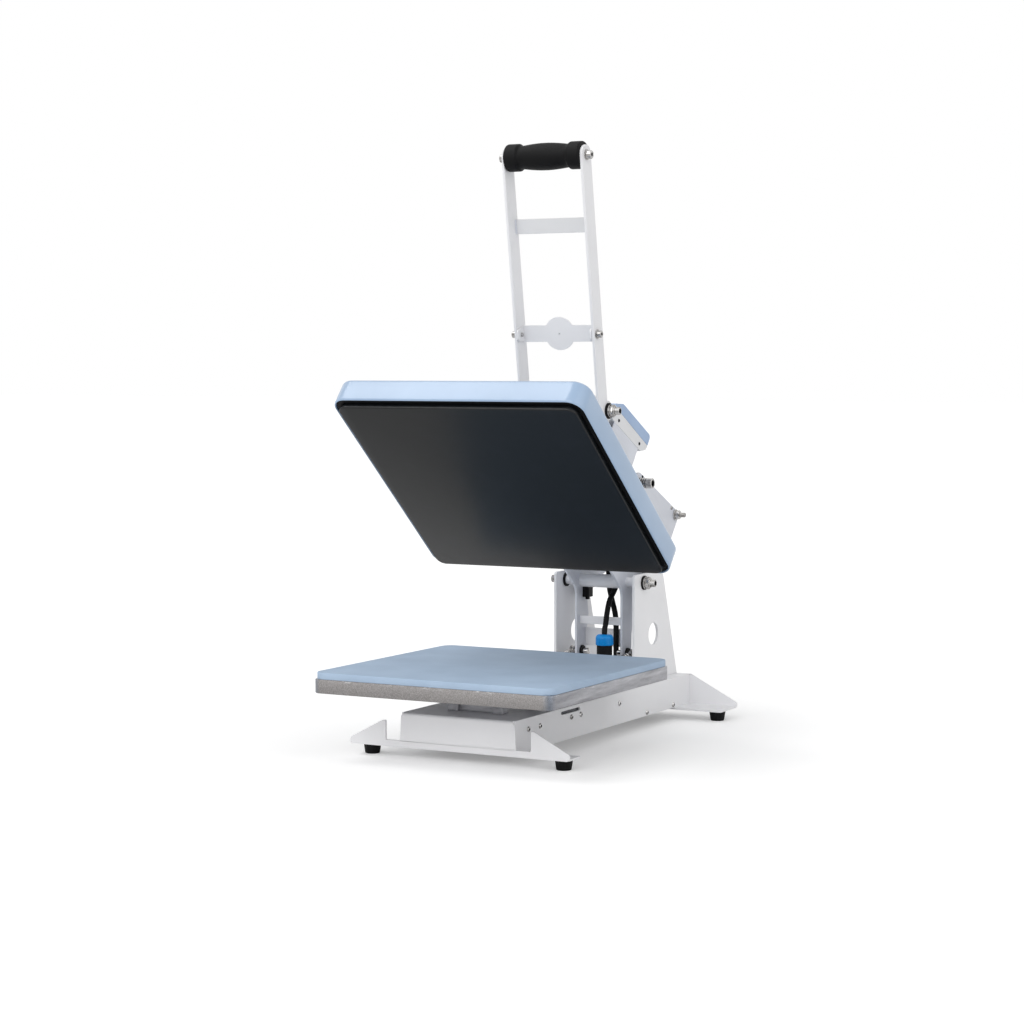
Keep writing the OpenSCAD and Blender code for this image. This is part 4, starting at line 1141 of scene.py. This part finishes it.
long, wide, thick = SEGMENT
segment = slab("segment", (-long / 2, -wide / 2, 0), (long / 2, wide / 2, thick), 0.55, [], corner_steps=1)
upright = Matrix.Rotation(math.radians(90), 4, "Z")
digits = []
for left in DIGITS_AT:
    for level in (0, 0.5, 1):
        digits.append(copy_at(segment, at(left + DIGIT_W / 2, DIGITS_LOW + DIGIT_H * level, GLASS_TOP)))
    for x in (left, left + DIGIT_W):
        for level in (0.25, 0.75):
            digits.append(copy_at(segment, at(x, DIGITS_LOW + DIGIT_H * level, GLASS_TOP) @ upright))
bpy.data.objects.remove(segment)
print("segments:", len(digits))
digits = settle(joined(digits, "display_digits"), PANEL)
dress(digits, "unlit_segments")
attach(digits, "arm")

# %% Signs on the buttons: up, down and a ring
BUTTON_ROW, BUTTON_TOP = -26, 1.45
SIGN_R, SIGN_H = 3.2, 0.35


def triangle(name, turn):
    bpy.ops.object.select_all(action="DESELECT")
    bpy.ops.mesh.primitive_cylinder_add(vertices=3, radius=SIGN_R * MM, depth=SIGN_H * MM)
    sign = bpy.context.object
    sign.name = name
    settle(sign, Matrix.Rotation(math.radians(turn), 4, "Z"))
    return bevel_sharp(sign, 0.15)


ring = turned("set_sign", [(-SIGN_H / 2, 3.0), (SIGN_H / 2 - 0.1, 3.0), (SIGN_H / 2, 2.9)], sides=40)
ring = open_frame(ring, 0.8)
signs = ((triangle("up_sign", 0), -30, "up"), (triangle("down_sign", 180), 0, "down"), (ring, 30, "set"))
for sign, x, body in signs:
    settle(sign, PANEL @ at(x, BUTTON_ROW, BUTTON_TOP + SIGN_H / 2))
    dress(smooth(sign), "pale_plastic")
    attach(sign, body)
print("button signs: 3")

# %% [markdown]
# ## Floor and light
#
# A plain studio: a white floor, a bright even surround and three wide lamps. The surround looks white to the
# camera and to shiny pieces, while it lights the press at a plain level, so colours render as written. The
# floor is lit like the press and keeps its shadow; a touch of its own light, seen by the camera only, takes
# it to white.

# %% Floor
FLOOR_SIZE = 60
FLOOR_GLOW = 0.22

bpy.ops.object.select_all(action="DESELECT")
bpy.ops.mesh.primitive_plane_add(size=FLOOR_SIZE)
floor = bpy.context.object
floor.name = "studio_floor"
material = bpy.data.materials.new("studio_white")
material.use_nodes = True
tree = material.node_tree
shader = tree.nodes["Principled BSDF"]
shader.inputs["Base Color"].default_value = (0.93, 0.93, 0.93, 1)
shader.inputs["Roughness"].default_value = 0.9
shader.inputs["Specular IOR Level"].default_value = 0.0
shader.inputs["Emission Color"].default_value = (1, 1, 1, 1)
eye = tree.nodes.new("ShaderNodeLightPath")
glow = tree.nodes.new("ShaderNodeMath")
glow.operation = "MULTIPLY"
glow.inputs[1].default_value = FLOOR_GLOW
tree.links.new(eye.outputs["Is Camera Ray"], glow.inputs[0])
tree.links.new(glow.outputs[0], shader.inputs["Emission Strength"])
floor.data.materials.append(material)
print("floor:", FLOOR_SIZE, "m")

# %% Surround and lamps
SURROUND = 0.52

world = bpy.data.worlds.new("studio")
bpy.context.scene.world = world
world.use_nodes = True
tree = world.node_tree
background = tree.nodes["Background"]
background.inputs["Color"].default_value = (1, 1, 1, 1)
eye = tree.nodes.new("ShaderNodeLightPath")
seen = eye.outputs["Is Camera Ray"]
for kind in ("Is Glossy Ray", "Is Transmission Ray"):
    either = tree.nodes.new("ShaderNodeMath")
    either.operation = "MAXIMUM"
    tree.links.new(seen, either.inputs[0])
    tree.links.new(eye.outputs[kind], either.inputs[1])
    seen = either.outputs[0]
tree.links.new(spread(tree, seen, 0, 1, SURROUND, 1.0), background.inputs["Strength"])

LAMPS = (("high_lamp", (31, 0, -66), 0.68, 30), ("front_lamp", (58, 0, -4), 1.02, 50),
         ("side_lamp", (62, 0, 78), 0.44, 60))

for name, turn, strength, width in LAMPS:
    bpy.ops.object.light_add(type="SUN", rotation=[math.radians(a) for a in turn])
    lamp = bpy.context.object
    lamp.name = name
    lamp.data.energy = strength
    lamp.data.angle = math.radians(width)
    print(name, strength)

bpy.context.scene.view_settings.view_transform = "Standard"
